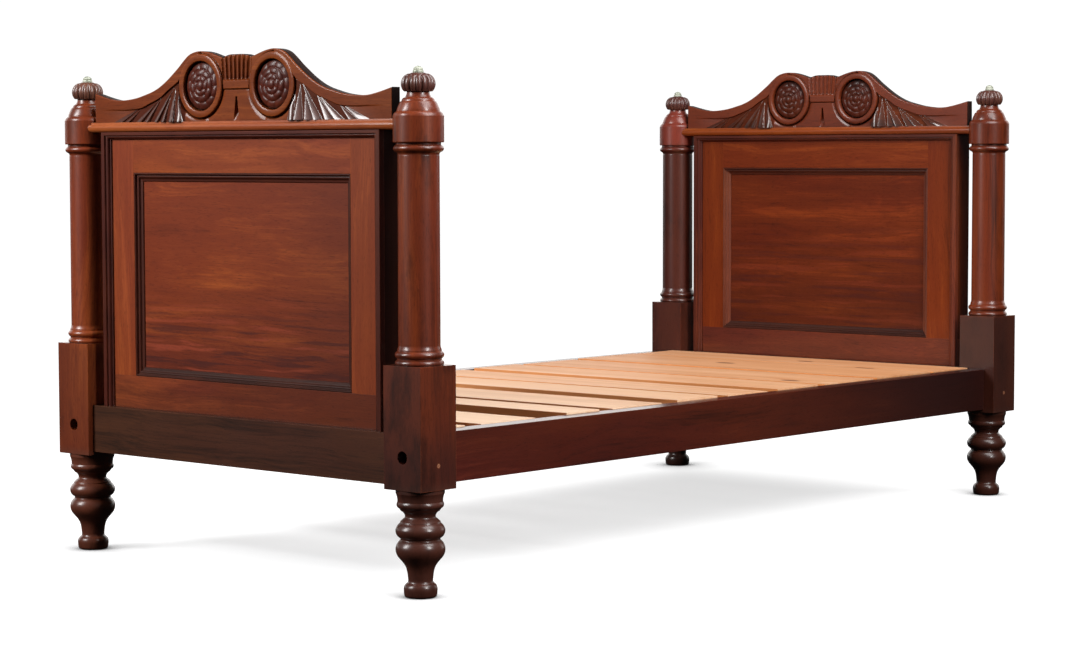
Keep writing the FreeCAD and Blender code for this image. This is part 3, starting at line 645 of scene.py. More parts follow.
# Ring of the scroll around the rosette, and the groove that frees it
RING_X, RING_Z = 104.0, 70.5
RING_IN, RING_MIDDLE, RING_OUT = 49.6, 56.5, 62.8
RING_HALF = 6.8
RING_CROWN = 1.6
GROOVE_WALL = 64.2
GROOVE_OUT = 64.6
GROOVE_DEPTH = 8.0
GROOVE_DEPTH_LESS = 3.0
GROOVE_SLOPE = 1.9
GROOVE_LESS_RISE = (60.0, 74.0)
JOIN_RISE = (66.0, 84.0)
JOIN_SPAN = (RING_X - 4.0, RING_X + 10.0)
HOLLOW_BEGIN, HOLLOW_WIDTH, HOLLOW_DEPTH = 63.0, 13.0, 4.0
HOLLOW_TOP = 62.0
LEAF_FREE = 66.0
# Rosette: a dome with rings of petals, each with its two bounds, rise, turn, two radii, count, twist and cut
DOME_RADIUS, DOME_DROP = 48.0, 9.0
PETAL_RINGS = [
    (33.5, RING_OUT, 3.4, 0.0, 33.0, 48.4, 11, 0.10, 0.42),
    (20.5, 33.5, 3.4, 0.16, 20.0, 34.0, 8, -0.12, 0.44),
    (10.2, 20.5, 3.2, 0.0, 9.6, 21.0, 6, 0.12, 0.44),
]
BUTTON_BOUND, BUTTON_RADIUS, BUTTON_RISE = 10.2, 10.4, 4.4
RIM_DROP = 2.6
RIM_SPAN = (47.0, 48.6)
ROSETTE_RIM = 49.4
LIP_BEGIN, LIP_END = 48.9, 50.2
# Panel below the fan, with its tapered drop
PANEL_DEPTH = 2.0
PANEL_EDGE = (14.0, 22.0)
DROP_TOP, DROP_DEPTH = 48.0, 9.0
DROP_TIP_HALF, DROP_SPREAD = 2.2, 6.4
DROP_RUN_OUT = 22.0
DROP_TIP, DROP_TIP_FADE = 49.0, 5.0
# Fan: flutes between the rings above a plain band
FAN_FOOT = 62.6
FAN_HALF, FAN_SPREAD = 39.0, 6.0
FAN_LOW, FAN_RISE = 64.0, 67.0
FLUTES_PER_HALF = 3.5
FLUTE_FILL = 0.92
FLUTE_DEPTH = 4.6
FLUTE_FOOT = (79.0, 84.0)
FAN_SINK = 1.0
FAN_STEP = (78.0, 82.0)
FAN_FOOT_STEP = (62.4, 63.6)
FAN_SIDE_STEP = (-0.8, 0.8)
FILLER_SINK = 3.4
FAN_LINE_DEPTH, FAN_LINE_HALF = 3.2, 1.1
FAN_LINE_END = (-2.0, 2.0)


def crest_top(x):
    fan_points = [(a * CREST_HALF, b * CREST_HEIGHT) for a, b in FAN_SHARES]
    scroll_points = [(a * CREST_HALF, b * CREST_HEIGHT) for a, b in SCROLL_SHARES]
    fan = smooth_line(fan_points, np.minimum(x, FAN_END))
    scroll = smooth_line(scroll_points, np.maximum(x, FAN_END))
    return np.where(x < FAN_END, fan, scroll)


def petals(radius, turn, low, high, count, twist, cut):
    """Ring of domed petals between two radii: share of height from 0 to 1."""
    across = held((radius - low) / (high - low))
    dome = round_top(2.0 * across - 1.0)
    wave = np.abs(np.cos(0.5 * count * (turn + twist * (across - 0.5))))
    return dome * (1.0 - cut * (1.0 - wave) ** 1.3)


def ridge_rise(x, z, ridge):
    """Whether a place is on one pointed ridge of the leaf, and the ridge's height there."""
    point_x, point_z, foot_in, foot_out, strength = ridge
    up = held(z / point_z)
    inner = foot_in + (point_x - foot_in) * up
    outer = foot_out + (point_x - foot_out) * up
    wide = np.maximum(outer - inner, 0.01)
    place = np.where(z < point_z, (x - inner) / wide, -1.0)
    across = held(place)
    crown = np.minimum(RIDGE_CROWN_SHARE * wide, RIDGE_CROWN) * strength
    rise = crown * (1.0 - 0.28 * across - 0.72 * across**1.8) * held(place / RIDGE_EDGE_SHARE)
    on_ridge = (place > 0.0) & (place < 1.0)
    return on_ridge, np.where(on_ridge, rise, 0.0)


def leaf_relief(x, z):
    """Kind of place in the leaf, 1 on its ridges and 2 on the ground between them, and its height."""
    foot = smooth_line(SCROLL_FOOT, np.clip(x, SCROLL_FOOT[0][0], SCROLL_FOOT[-1][0]))
    span = ease(x, *LEAF_BEGIN) * ease(x, *LEAF_END)
    below = np.clip(foot - z, 0.0, None)
    height = (LEAF_SLOPE * below - LEAF_STEP * ease(below, 0.0, LEAF_STEP_WIDTH)) * span
    on_ground = (below > 1.0) & (x > GROUND_BEGIN) & (x < GROUND_END - GROUND_LEAN * z)
    kind = np.where(on_ground, 2, 0)
    for ridge in RIDGES:
        on_ridge, rise = ridge_rise(x, z, ridge)
        height = height + rise
        kind = np.where(on_ridge, 1, kind)
    return kind, height


def panel_relief(height, x, z):
    """Sunk panel between the rings, with a tapered drop cut in it that runs out at the foot."""
    inside = ease(RING_X - x, *PANEL_EDGE)
    height = height * (1.0 - inside) - PANEL_DEPTH * inside
    drop_half = DROP_TIP_HALF + DROP_SPREAD * held((DROP_TOP - z) / DROP_TOP) ** 1.2
    hollow = round_top(x / drop_half) * held((DROP_TIP - z) / DROP_TIP_FADE)
    return height - hollow * DROP_DEPTH * held(z / DROP_RUN_OUT)


def fan_relief(height, x, z):
    """Fan of flutes that fills the space between the rings above a plain band."""
    wide = FAN_HALF + FAN_SPREAD * held((z - FAN_LOW) / FAN_RISE)
    flute = held(x / wide) * FLUTES_PER_HALF + 0.5
    near = np.abs(flute - np.floor(flute) - 0.5) * 2.0
    scoop = round_top(near / FLUTE_FILL) * ease(z, *FLUTE_FOOT)
    fan = -FAN_SINK - FAN_SINK * ease(z, *FAN_STEP) - FLUTE_DEPTH * scoop
    above = ease(z, *FAN_FOOT_STEP) * (x < RING_X)
    on_fan = ease(wide - x, *FAN_SIDE_STEP)
    height = height * (1.0 - above) + (fan * on_fan - FILLER_SINK * (1.0 - on_fan)) * above
    line = np.exp(-((z - FAN_FOOT) / FAN_LINE_HALF) ** 2)
    return height - FAN_LINE_DEPTH * line * ease(wide - x, *FAN_LINE_END)


def groove_relief(height, x, z, radius):
    """Groove around the ring, deep below and beside it, running out where the ring joins the scroll."""
    joined = ease(z, *JOIN_RISE) * ease(x, *JOIN_SPAN)
    hollow = held(1.0 - (radius - HOLLOW_BEGIN) / HOLLOW_WIDTH) ** 2
    height = height - HOLLOW_DEPTH * hollow * (1.0 - joined) * (z < HOLLOW_TOP)
    floor_level = GROOVE_DEPTH_LESS * ease(z, *GROOVE_LESS_RISE) * (x < RING_X) - GROOVE_DEPTH
    inner_wall = floor_level * ease(radius, RING_OUT, GROOVE_WALL)
    outer_wall = floor_level + GROOVE_SLOPE * (radius - GROOVE_OUT)
    cut_in = np.minimum(height, np.where(radius < GROOVE_OUT, inner_wall, outer_wall))
    return np.where(radius > RING_OUT, height * joined + cut_in * (1.0 - joined), height)


def ring_relief(height, radius, turn):
    """Softly crowned ring of the scroll, and the rosette in its hollow."""
    crown = RING_CROWN * round_top((radius - RING_MIDDLE) / RING_HALF)
    height = np.where((radius > RING_IN) & (radius <= RING_OUT), crown, height)
    rosette = -DOME_DROP * held(radius / DOME_RADIUS) ** 2
    for inner, outer, rise, start, low, high, count, twist, cut in PETAL_RINGS:
        leaves = rise * petals(radius, turn + start, low, high, count, twist, cut)
        rosette += np.where((radius > inner) & (radius <= outer), leaves, 0.0)
    button = BUTTON_RISE * round_top(radius / BUTTON_RADIUS)
    rosette += np.where(radius <= BUTTON_BOUND, button, 0.0)
    rosette -= RIM_DROP * ease(radius, *RIM_SPAN)
    lip = ease(radius, LIP_BEGIN, LIP_END)
    return np.where(radius < LIP_END, rosette * (1.0 - lip) + crown * lip, height)


def crest_relief(x, z, edge):
    """Height of the carving in front of the plain face, in millimetres, at a distance x from the middle."""
    dx, dz = x - RING_X, z - RING_Z
    radius = np.hypot(dx, dz)
    height = leaf_relief(x, z)[1]
    height = panel_relief(height, x, z)
    height = fan_relief(height, x, z)
    height = groove_relief(height, x, z, radius)
    height = ring_relief(height, radius, np.arctan2(dz, dx))
    arris = np.clip(ARRIS - edge, 0.0, ARRIS)
    return height - (ARRIS - np.sqrt(np.clip(ARRIS**2 - arris**2, 0.0, None)))


def crest_kinds(x, z):
    """Material of each carved face: 0 plain, 2 rosette, 3 ridges of the leaf, 4 ground of the leaf."""
    away = np.hypot(x - RING_X, z - RING_Z)
    leaf = leaf_relief(x, z)[0] * (away > LEAF_FREE)
    kinds = np.where(leaf == 1, 3, np.where(leaf == 2, 4, 0))
    return np.where(away < ROSETTE_RIM, 2, kinds)[:-1, :-1].ravel().tolist()


def make_crest(end_name, end, materials):
    """Carved crest: a fine grid for the face, then bands over the edges, the back and the two ends.

    materials are the plain wood, the near-black wood of the top and bottom edges and the ends, partly
    dull bare wood and partly painted shade, the rosettes, the leaf and its ground.
    """
    across = np.linspace(-CREST_HALF, CREST_HALF, CREST_COLUMNS)
    top = crest_top(np.abs(across))
    slope = np.gradient(top, across)
    x = np.repeat(across[:, None], CREST_ROWS, 1)
    z = top[:, None] * np.linspace(0.0, 1.0, CREST_ROWS)[None, :]
    edge = (top[:, None] - z) / np.sqrt(1.0 + slope[:, None] ** 2)
    edge = np.minimum(edge, CREST_HALF - np.abs(x) + ARRIS_END)
    plane = end * POST_Y * MM_PER_M
    face_y = plane - CREST_FACE - crest_relief(np.abs(x), z, edge)
    points = [np.stack([x, face_y, z], -1).reshape(-1, 3)]
    index = np.arange(x.size).reshape(x.shape)
    tops, lows = [index[:, -1]], [index[:, 0]]
    count = x.size
    for depth, inset in CREST_BANDS:
        drawn_in = across * (1.0 - inset / CREST_HALF)
        for level, rows in ((top - inset, tops), (np.zeros_like(top), lows)):
            points.append(np.stack([drawn_in, np.full_like(across, depth + plane), level], -1))
            rows.append(np.arange(CREST_COLUMNS) + count)
            count += CREST_COLUMNS
    points = np.concatenate(points)
    points[:, 2] += CAP_TOP * MM_PER_M
    faces = list(quads(*(part.ravel() for part in (
        index[:-1, :-1], index[1:, :-1], index[1:, 1:], index[:-1, 1:]))))
    for first, second in zip(tops[:-1], tops[1:]):
        faces.extend(quads(first[:-1], first[1:], second[1:], second[:-1]))
    for first, second in zip(lows[:-1], lows[1:]):
        faces.extend(quads(first[1:], first[:-1], second[:-1], second[1:]))
    edge_count = len(faces) - (CREST_COLUMNS - 1) * (CREST_ROWS - 1)
    faces.extend(quads(tops[-1][:-1], tops[-1][1:], lows[-1][1:], lows[-1][:-1]))
    for column in (0, CREST_COLUMNS - 1):
        over = [int(row[column]) for row in tops[1:]]
        under = [int(row[column]) for row in reversed(lows[1:])]
        ring = index[column].tolist() + over + under
        faces.append(tuple(ring if column == 0 else reversed(ring)))
    piece = add_mesh(end_name + "_carved_crest", points / MM_PER_M, faces, materials, CREST_SHARP_ANGLE)
    kinds = crest_kinds(np.abs(x), z) + [1] * edge_count + [0] * (CREST_COLUMNS - 1) + [1] * 2
    piece.data.polygons.foreach_set("material_index", kinds)
    for end_face in list(piece.data.polygons)[-2:]:
        end_face.use_smooth = False
    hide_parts(end_name + "_crest")


# Knob, in millimetres above the post: radius and height along its neck, and along the groove and button
# on top; between them is a lobed bulge, an arc around its centre, with angles in degrees
KNOB_NECK = [(20.9, 0.0), (21.3, 0.4), (21.1, 1.0), (21.4, 1.5)]
KNOB_BUTTON = [
    (18.6, 34.2), (16.9, 33.4), (15.8, 33.3), (15.2, 34.2), (14.6, 35.6), (13.4, 36.3), (11.5, 36.4),
]
BULGE_CENTRE = (12.0, 16.0)
BULGE_RADIUS = 20.5
BULGE_ANGLES = (-44.0, 66.0)
BULGE_STEPS = 30
LOBES = 16
LOBE_STEPS = 14
LOBE_DEPTH = 3.4
LOBE_MIDDLE, LOBE_HALF = -1.0, 52.0
LOBE_FULLNESS = 1.25
LOBE_SHARPNESS = 1.35
KNOB_SHARP_ANGLE = 55.0


def knob_profile():
    """Radius, height and depth of the cuts between the lobes, from the neck up."""
    profile = [(radius, height, 0.0) for radius, height in KNOB_NECK]
    for angle in np.linspace(*BULGE_ANGLES, BULGE_STEPS):
        t = math.radians(angle)
        fade = math.sqrt(max(0.0, 1.0 - ((angle - LOBE_MIDDLE) / LOBE_HALF) ** 2))
        radius = BULGE_CENTRE[0] + BULGE_RADIUS * math.cos(t)
        height = BULGE_CENTRE[1] + BULGE_RADIUS * math.sin(t)
        profile.append((radius, height, LOBE_DEPTH * min(1.0, fade * LOBE_FULLNESS)))
    return profile + [(radius, height, 0.0) for radius, height in KNOB_BUTTON]


def make_finial(end_name, end, side_name, side, material):
    """Knob with rounded lobes on a short neck."""
    around = LOBES * LOBE_STEPS
    turn = np.linspace(0.0, 2.0 * math.pi, around, endpoint=False)
    wave = np.abs(np.cos(0.5 * LOBES * turn))
    centre = np.array([side * POST_X * MM_PER_M, end * POST_Y * MM_PER_M, POST_TOP * MM_PER_M])
    rings = []
    for radius, height, depth in knob_profile():
        reach = radius - depth * (1.0 - wave) ** LOBE_SHARPNESS
        ring = np.stack([reach * np.cos(turn), reach * np.sin(turn), np.full(around, height)], -1)
        rings.append(ring + centre)
    step = np.arange(around)
    after = (step + 1) % around
    faces = []
    for first in range(0, (len(rings) - 1) * around, around):
        second = first + around
        faces.extend(quads(first + step, first + after, second + after, second + step))
    faces.append(tuple(step[::-1].tolist()))
    faces.append(tuple((step + (len(rings) - 1) * around).tolist()))
    name = end_name + "_" + side_name
    piece = add_mesh(name + "_knob", np.concatenate(rings) / MM_PER_M, faces, [material], KNOB_SHARP_ANGLE)
    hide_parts(name + "_finial")


# Floor, in metres: it glows white by itself, with a painted shadow of lower glow under the bed and a painted
# contact shade below the legs
FLOOR_REACH = 7.0
FLOOR_STEPS = 96
FLOOR_GLOW = 0.68
OPEN_GLOW = 1.05
SHADE_SHIFT = 0.07
SHADE_ACROSS = (0.12, 0.62)
SHADE_ALONG = (0.70, 1.20)
CONTACT_REACH = 0.12
CONTACT_LIMITS = (0.48, 0.97)
CONTACT_GLOW = 0.10
FLOOR_GREY = (0.34, 0.34, 0.345, 1.0)


def make_floor():
    """Wide round floor, white right to its rim, that takes only soft shadows, besides its painted shadow
    under the bed and painted contact shade at the legs.
    """
    turns = [2 * math.pi * i / FLOOR_STEPS for i in range(FLOOR_STEPS)]
    points = [(0.0, 0.0, 0.0)]
    points += [(FLOOR_REACH * math.cos(turn), FLOOR_REACH * math.sin(turn), 0.0) for turn in turns]
    faces = [(0, 1 + i, 1 + (i + 1) % FLOOR_STEPS) for i in range(FLOOR_STEPS)]
    mesh = bpy.data.meshes.new("floor")
    mesh.from_pydata(points, [], faces)
    floor = bpy.data.objects.new("floor", mesh)
    scene.collection.objects.link(floor)
    g = MaterialGraph("floor_white")
    parts = g.parts(g.object_place())
    # Painted shadow: less glow in a band under the bed
    beside = g.remap(g.math("ABSOLUTE", g.plus(parts[X], SHADE_SHIFT)), *SHADE_ACROSS)
    beyond = g.remap(g.math("ABSOLUTE", parts[Y]), *SHADE_ALONG)
    glow = g.remap(g.math("MAXIMUM", beside, beyond), 0.0, 1.0, FLOOR_GLOW, OPEN_GLOW)
    # Painted contact shade where the legs close in the open air
    painted_contact_shade = g.remap(g.open_air(CONTACT_REACH, 8), *CONTACT_LIMITS, CONTACT_GLOW, 1.0, False)
    g.shade({
        "Emission Strength": g.times(glow, painted_contact_shade),
        "Emission Color": WHITE,
        "Base Color": FLOOR_GREY,
        "Roughness": 1.0,
        "Specular IOR Level": 0.0,
    })
    g.material.cycles.emission_sampling = "NONE"
    mesh.materials.append(g.material)
    floor.visible_diffuse = False
    floor.visible_glossy = False


# Room: brightness of the white that the camera sees, and of the room's faint light from below and above
SEEN_WHITE = 1.05
ROOM_TINT = (1.0, 0.98, 0.96, 1.0)
SKY_SPAN = (-0.4, 0.9)
SKY_LOW = 0.01
SKY_HIGH = 0.05
# White cloth low behind the bed, as its polish mirrors it: brightness, direction and soft limits
CLOTH = 1.9
CLOTH_SIDE = (-0.66, 0.75, 0.0)
CLOTH_SPREAD = (0.35, 0.80)
CLOTH_TOP = (0.55, 0.25)
CLOTH_FOOT = (0.0, 0.05)
# Lamps: angles in degrees, sizes and places in metres
LAMPS = [
    {"name": "key_left", "azimuth": -30.0, "elevation": 25.0, "distance": 3.6, "wide": 1.3, "tall": 2.2,
     "watts": 41.0, "aim": (-0.1, -1.0, 0.95), "spread": 80.0},
    {"name": "key_right", "azimuth": 83.0, "elevation": 25.0, "distance": 4.7, "wide": 0.9, "tall": 2.0,
     "watts": 38.0, "aim": (0.3, -0.4, 0.8), "spread": 80.0},
    {"name": "overhead", "azimuth": 85.0, "elevation": 57.0, "distance": 3.8, "wide": 2.2, "tall": 2.2,
     "watts": 112.0, "aim": (0.0, -0.1, 0.3), "spread": 180.0},
]


def make_world():
    """White to the camera; to the bed a dim room with the white cloth behind it."""
    world = bpy.data.worlds.new("studio")
    world.use_nodes = True
    g = Graph(world.node_tree)
    ray = g.node("ShaderNodeTexCoord").outputs["Generated"]
    height = g.parts(ray)[Z]
    cloth = g.remap(g.agreement(ray, CLOTH_SIDE), *CLOTH_SPREAD, 0.0, CLOTH)
    low_part = g.times(g.remap(height, *CLOTH_TOP), g.remap(height, *CLOTH_FOOT))
    sky = g.remap(height, *SKY_SPAN, SKY_LOW, SKY_HIGH, False)
    strength = g.math("MULTIPLY_ADD", cloth, low_part, sky)
    room = g.node("ShaderNodeBackground", {0: ROOM_TINT, 1: strength}).outputs[0]
    seen = g.node("ShaderNodeBackground", {0: WHITE, 1: SEEN_WHITE}).outputs[0]
    by_camera = g.node("ShaderNodeLightPath").outputs["Is Camera Ray"]
    both = g.node("ShaderNodeMixShader", {0: by_camera, 1: room, 2: seen}).outputs[0]
    g.node("ShaderNodeOutputWorld", {0: both})
    scene.world = world


def make_lamp(name, azimuth, elevation, distance, wide, tall, watts, aim, spread):
    data = bpy.data.lights.new(name, "AREA")
    data.shape = "RECTANGLE"
    data.size = wide
    data.size_y = tall
    data.energy = watts
    data.spread = math.radians(spread)
    lamp = bpy.data.objects.new(name, data)
    back = toward(azimuth, elevation)
    lamp.location = Vector(aim) + back * distance
    lamp.rotation_mode = "QUATERNION"
    lamp.rotation_quaternion = back.to_track_quat("Z", "Y")
    scene.collection.objects.link(lamp)


# Palettes of the hardwood: dark, middle and light screen colours
RED = shades((72, 24, 9), (120, 47, 19), (162, 76, 31))
FRAME = shades((84, 31, 12), (130, 55, 23), (170, 84, 37))
CAP = shades((96, 40, 16), (158, 80, 37), (196, 114, 58))
# Darker copy of the frame palette for the bottom rails: painted shade low on each end
SHADED_FRAME = shades((56, 22, 11), (98, 41, 20), (136, 62, 30))
BEAD = shades((34, 14, 9), (70, 29, 17), (110, 50, 29))
HEAD_BEAD = shades((56, 23, 11), (96, 42, 22), (134, 68, 40))
BEAD_LOW = shades((26, 11, 8), (50, 22, 14), (84, 40, 26))
BORDER = shades((40, 15, 9), (76, 29, 16), (120, 54, 29))
CARVED = shades((58, 22, 8), (112, 50, 20), (156, 80, 36))
LEAF = shades((34, 13, 6), (74, 31, 16), (114, 54, 28))
LEAF_GROUND = shades((34, 14, 6), (82, 36, 17), (116, 57, 28))
# The head's carving and cap are darker than the foot's: partly painted shade, as the head end stands further
# from the lamps, and partly their own browner tone
HEAD_CARVED = shades((58, 21, 10), (104, 43, 22), (142, 68, 36))
HEAD_CAP = shades((76, 28, 9), (122, 52, 18), (154, 76, 30))
ROSETTE = shades((30, 11, 7), (74, 28, 17), (112, 49, 30))
# Near-black wood of the crest's top and bottom edges and its ends: partly dull bare edge wood, partly
# painted shade
CREST_EDGE_DARK = shades((18, 8, 6), (36, 16, 12), (58, 28, 20))
POST = shades((46, 14, 6), (106, 41, 18), (154, 70, 30))
POST_WARM = shades((55, 17, 6), (125, 51, 22), (174, 84, 36))
POST_FAR = shades((32, 11, 8), (74, 32, 22), (116, 56, 37))
# The head's field and frame are darker than the foot's: partly painted shade, as the head end stands further
# from the lamps, and partly their own more orange wood
HEAD_FIELD = shades((45, 14, 2), (97, 36, 8), (135, 57, 17))
HEAD_FRAME = shades((64, 21, 4), (109, 42, 11), (148, 68, 23))
# Greyish pink knob palette: partly the knobs' own duller tone, partly painted sheen standing in for the
# highlights on their lobes
KNOB = shades((38, 18, 15), (84, 46, 38), (126, 80, 68))
SIDE_RAIL = shades((38, 12, 8), (70, 24, 15), (100, 42, 27))
END_RAIL = shades((40, 22, 13), (76, 42, 25), (104, 60, 37))

# Zones: axis, place in metres where a tint begins and place where it is full, tint and share
LEG_TINT_AND_SHADE = colour(100, 55, 40)
BLOCK_SHADE = colour(80, 36, 20)
SHADE_TINT = colour(30, 12, 8)
FIELD_SHADE = colour(72, 30, 22)
STILE_SHADE_BEGIN = STILE_OUT - 0.0010
STILE_SHADE_FULL = STILE_OUT - 0.0004
# Painted shade low on every post: the block darker; the leg duller and greyer, partly its own colour and
# partly painted shade
POST_LOW_SHADE_ZONES = [(Z, 0.46, 0.42, BLOCK_SHADE, 0.45), (Z, 0.225, 0.20, LEG_TINT_AND_SHADE, 0.75)]
FOOT_RIGHT_ZONES = [(Z, 0.36, 0.235, colour(44, 22, 20), 0.55)]
# Far left post at the head: painted shade darkens its leg nearly to black, and painted light brightens its
# capital to a redder tone
HEAD_LEFT_ZONES = [(Z, 0.23, 0.19, colour(26, 13, 10), 0.8), (Z, 0.83, 0.87, colour(150, 62, 47), 0.55)]
HEAD_RIGHT_ZONES = [(Z, 0.45, 0.43, colour(48, 22, 16), 0.75)]
# Painted shade on the foot field: darker towards its bottom and towards its right side
FIELD_SHADE_ZONES = [(Z, 0.62, 0.38, FIELD_SHADE, 0.35), (X, 0.02, 0.36, FIELD_SHADE, 0.30)]
# Painted shade on the head field, darker towards its bottom
HEAD_FIELD_SHADE_ZONES = [(Z, 0.66, 0.42, colour(56, 20, 10), 0.50)]
# Painted shade on the side rails, darker towards the head end, further from the lamps
SIDE_RAIL_SHADE_ZONES = [(Y, -0.2, 0.9, colour(34, 14, 13), 0.85)]


def stile_zones(share):
    """Shade on the outer sides of the stiles."""
    ends = [(side * STILE_SHADE_BEGIN, side * STILE_SHADE_FULL) for side in (1, -1)]
    return [(X, begin, full, SHADE_TINT, share) for begin, full in ends]


def post_wood(name, palette, shift, patina, more_zones=()):
    """Wood of a post, whose block is darker than its column by painted shade and whose leg is a duller
    brown, partly painted shade.
    """
    zones = POST_LOW_SHADE_ZONES + list(more_zones)
    return mahogany(name, Z, palette, 0.32, 0.50, shift, patina=patina, hue=0.75, zones=zones,
                    coat=0.85, sheen=0.12, polish=0.27)


make_camera()
make_floor()
make_world()
for lamp_sizes in LAMPS:
    make_lamp(**lamp_sizes)

foot_left_wood = post_wood("post_foot_left", POST_WARM, (0.0, 0.31, 0.17), 0.40)
foot_right_wood = post_wood("post_foot_right", POST, (0.4, 0.11, 0.57), 0.70, FOOT_RIGHT_ZONES)
head_left_wood = post_wood("post_head_left", POST_FAR, (0.7, 0.51, 0.27), 0.50, HEAD_LEFT_ZONES)
head_right_wood = post_wood("post_head_right", POST, (0.2, 0.71, 0.87), 0.40, HEAD_RIGHT_ZONES)
stile_wood = mahogany("mahogany_stiles", Z, FRAME, 0.34, 0.50, (0.3, 0.07, 0.0),
                      zones=stile_zones(0.9), coat=0.25)
top_wood = mahogany("mahogany_top_rails", X, FRAME, 0.42, 0.50, (0.9, 0.2, 0.4), 0.30, hue=0.65, coat=0.25)
head_stile_wood = mahogany("head_stiles", Z, HEAD_FRAME, 0.34, 0.50, (0.8, 0.37, 0.2), hue=0.4,
                           zones=stile_zones(0.45), coat=0.2, sheen=0.08)
head_top_wood = mahogany("head_rails", X, HEAD_FRAME, 0.42, 0.50, (0.3, 0.8, 0.1), 0.25, hue=0.4,
                         coat=0.2, sheen=0.08)
bottom_wood = mahogany("mahogany_bottom_rails", X, SHADED_FRAME, 0.42, 0.50, (0.1, 0.6, 0.3), 0.30, hue=0.7,
                       coat=0.25)
cap_wood = mahogany("mahogany_cap_rails", X, CAP, 0.34, 0.48, (0.5, 0.3, 0.7), 0.15, hue=0.5, coat=0.4)
head_cap_wood = mahogany("head_cap_rail", X, HEAD_CAP, 0.34, 0.48, (0.2, 0.9, 0.4), 0.15, hue=0.5, coat=0.4)
field_wood = mahogany("mahogany_foot_field", X, RED, 0.34, 0.50, flame=0.30, hue=0.35, zones=FIELD_SHADE_ZONES,
                      coat=0.25, ripple=(0.44, 0.58, 0.75, 0.75))
head_field_wood = mahogany("mahogany_head_field", X, HEAD_FIELD, 0.34, 0.50, (0.8, 0.4, 0.1), 0.35,
                           zones=HEAD_FIELD_SHADE_ZONES, coat=0.25, sheen=0.08, ripple=(0.44, 0.72, 0.60, 0.22))
border_up = mahogany("border_mouldings_up", Z, BORDER, 0.30, 0.48, (0.5, 0.1, 0.9))
border_across = mahogany("border_mouldings_across", X, BORDER, 0.30, 0.48, (0.2, 0.5, 0.1))
bead_up = mahogany("bead_mouldings_up", Z, BEAD, 0.30, 0.50, (0.6, 0.4, 0.2), dirt_and_shade_reach=0.014, coat=0.2)
bead_across = mahogany("bead_mouldings_across", X, BEAD, 0.30, 0.50, (0.3, 0.9, 0.6), dirt_and_shade_reach=0.014, coat=0.2)
head_bead = mahogany("head_beads", Z, HEAD_BEAD, 0.30, 0.46, (0.6, 0.7, 0.2), coat=0.5, sheen=0.3)
bead_low = mahogany("bead_mouldings_low", X, BEAD_LOW, 0.30, 0.56, (0.1, 0.2, 0.6), dirt_and_shade_reach=0.014, coat=0.0)
carved_wood = mahogany("mahogany_carving", X, CARVED, 0.36, 0.46, (0.4, 0.8, 0.3), 0.25, coat=0.30,
                       sheen=0.08)
head_carved_wood = mahogany("head_carving", X, HEAD_CARVED, 0.26, 0.46, (0.7, 0.3, 0.1), dirt_and_shade_reach=0.008)
leaf_wood = mahogany("mahogany_leaves", X, LEAF, 0.26, 0.42, (0.1, 0.7, 0.5), dirt_and_shade_reach=0.005, coat=0.85,
                     sheen=0.26)
ground_wood = mahogany("leaf_ground", X, LEAF_GROUND, 0.30, 0.60, (0.3, 0.2, 0.8), dirt_and_shade_reach=0.012, coat=0.0,
                       sheen=0.05)
rosette_wood = mahogany("mahogany_rosettes", X, ROSETTE, 0.26, 0.40, (0.6, 0.1, 0.9), coat=0.12, sheen=0.18)
crest_edge_dark_wood = mahogany("crest_back_and_edges", X, CREST_EDGE_DARK, 0.30, 0.62, (0.2, 0.1, 0.5), coat=0.0)
knob_wood = mahogany("mahogany_knobs", Z, KNOB, 0.26, 0.42, (0.7, 0.2, 0.6), coat=0.7, sheen=0.4,
                     dirt_and_shade_reach=0.006, polish=0.22)
side_wood = mahogany("dark_side_rails", Y, SIDE_RAIL, 0.34, 0.48, (0.1, 0.3, 0.2), 0.15, dirt_and_shade_reach=0.0,
                     coat=0.5, zones=SIDE_RAIL_SHADE_ZONES)
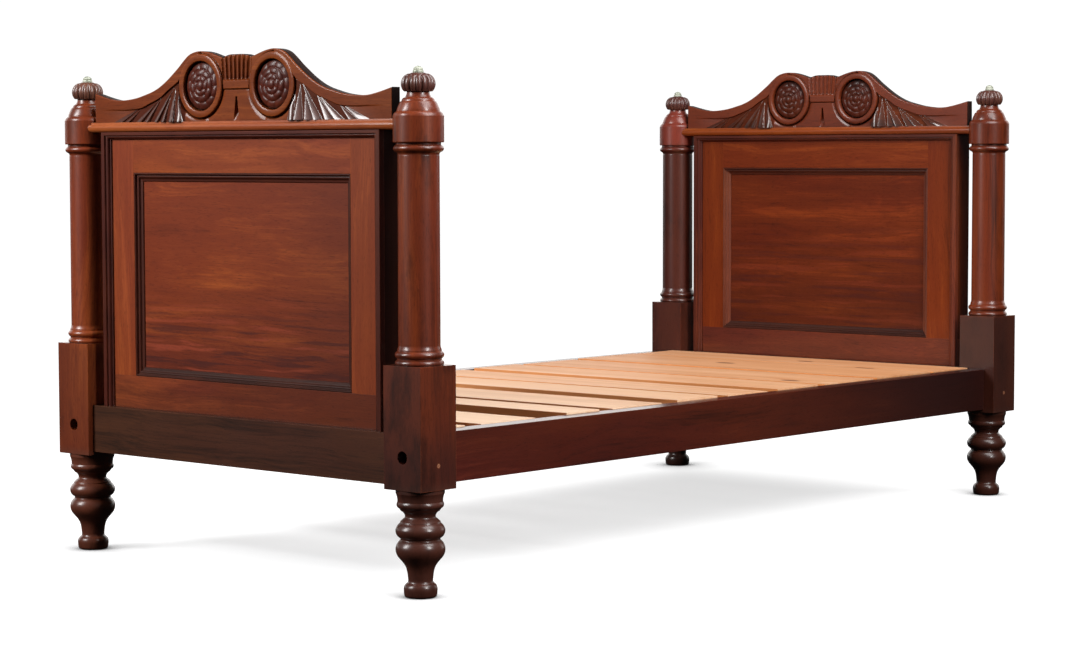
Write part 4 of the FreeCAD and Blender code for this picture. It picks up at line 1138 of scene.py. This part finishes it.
end_wood = mahogany("dark_end_rails", X, END_RAIL, 0.32, 0.50, (0.6, 0.4, 0.8), 0.15, hue=0.4, coat=0.25)
board_wood = pine("pine_boards")
peg_wood = pale_wood("peg_end_grain")
tip_metal = worn_brass("tip_metal")
steel = dull_steel("bolt_steel")

# Materials of the pieces of each end, at the foot and at the head, and of the pieces that both ends share
END_MATERIALS = {
    "end_rail": (end_wood, end_wood),
    "left_post": (foot_left_wood, head_left_wood),
    "right_post": (foot_right_wood, head_right_wood),
    "left_stile": (stile_wood, head_stile_wood),
    "right_stile": (stile_wood, head_stile_wood),
    "top_rail": (top_wood, head_top_wood),
    "bottom_rail": (bottom_wood, bottom_wood),
    "field_panel": (field_wood, head_field_wood),
    "border_left": (border_up, border_up),
    "border_right": (border_up, border_up),
    "border_top": (border_across, border_across),
    "bead_left": (bead_up, head_bead),
    "bead_right": (bead_up, head_bead),
    "bead_top": (bead_across, bead_across),
    "bead_bottom": (bead_low, bead_low),
    "cap_rail": (cap_wood, head_cap_wood),
    "crest": (carved_wood, head_carved_wood),
    "left_finial": (knob_wood, knob_wood),
    "right_finial": (knob_wood, knob_wood),
}
OTHER_MATERIALS = {
    "rail_pegs": peg_wood,
    "crest_dowels": peg_wood,
    "finial_tips": tip_metal,
    "bed_bolts": steel,
    "bed_nuts": steel,
    "ledger_screws": steel,
}


def material_of(node):
    if node in OTHER_MATERIALS:
        return OTHER_MATERIALS[node]
    if node.startswith("slat_") or node.endswith("_ledger"):
        return board_wood
    if node.endswith("_side_rail"):
        return side_wood
    end_name, piece = node.split("_", 1)
    at_foot, at_head = END_MATERIALS[piece]
    return at_head if end_name == "head" else at_foot


for node_name, node_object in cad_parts.items():
    node_object.data.materials.clear()
    node_object.data.materials.append(material_of(node_name))

for end_name, end in ENDS.items():
    plain_wood = material_of(end_name + "_crest")
    make_crest(end_name, end, [plain_wood, crest_edge_dark_wood, rosette_wood, leaf_wood, ground_wood])
    for side_name, side in SIDES.items():
        make_finial(end_name, end, side_name, side, knob_wood)
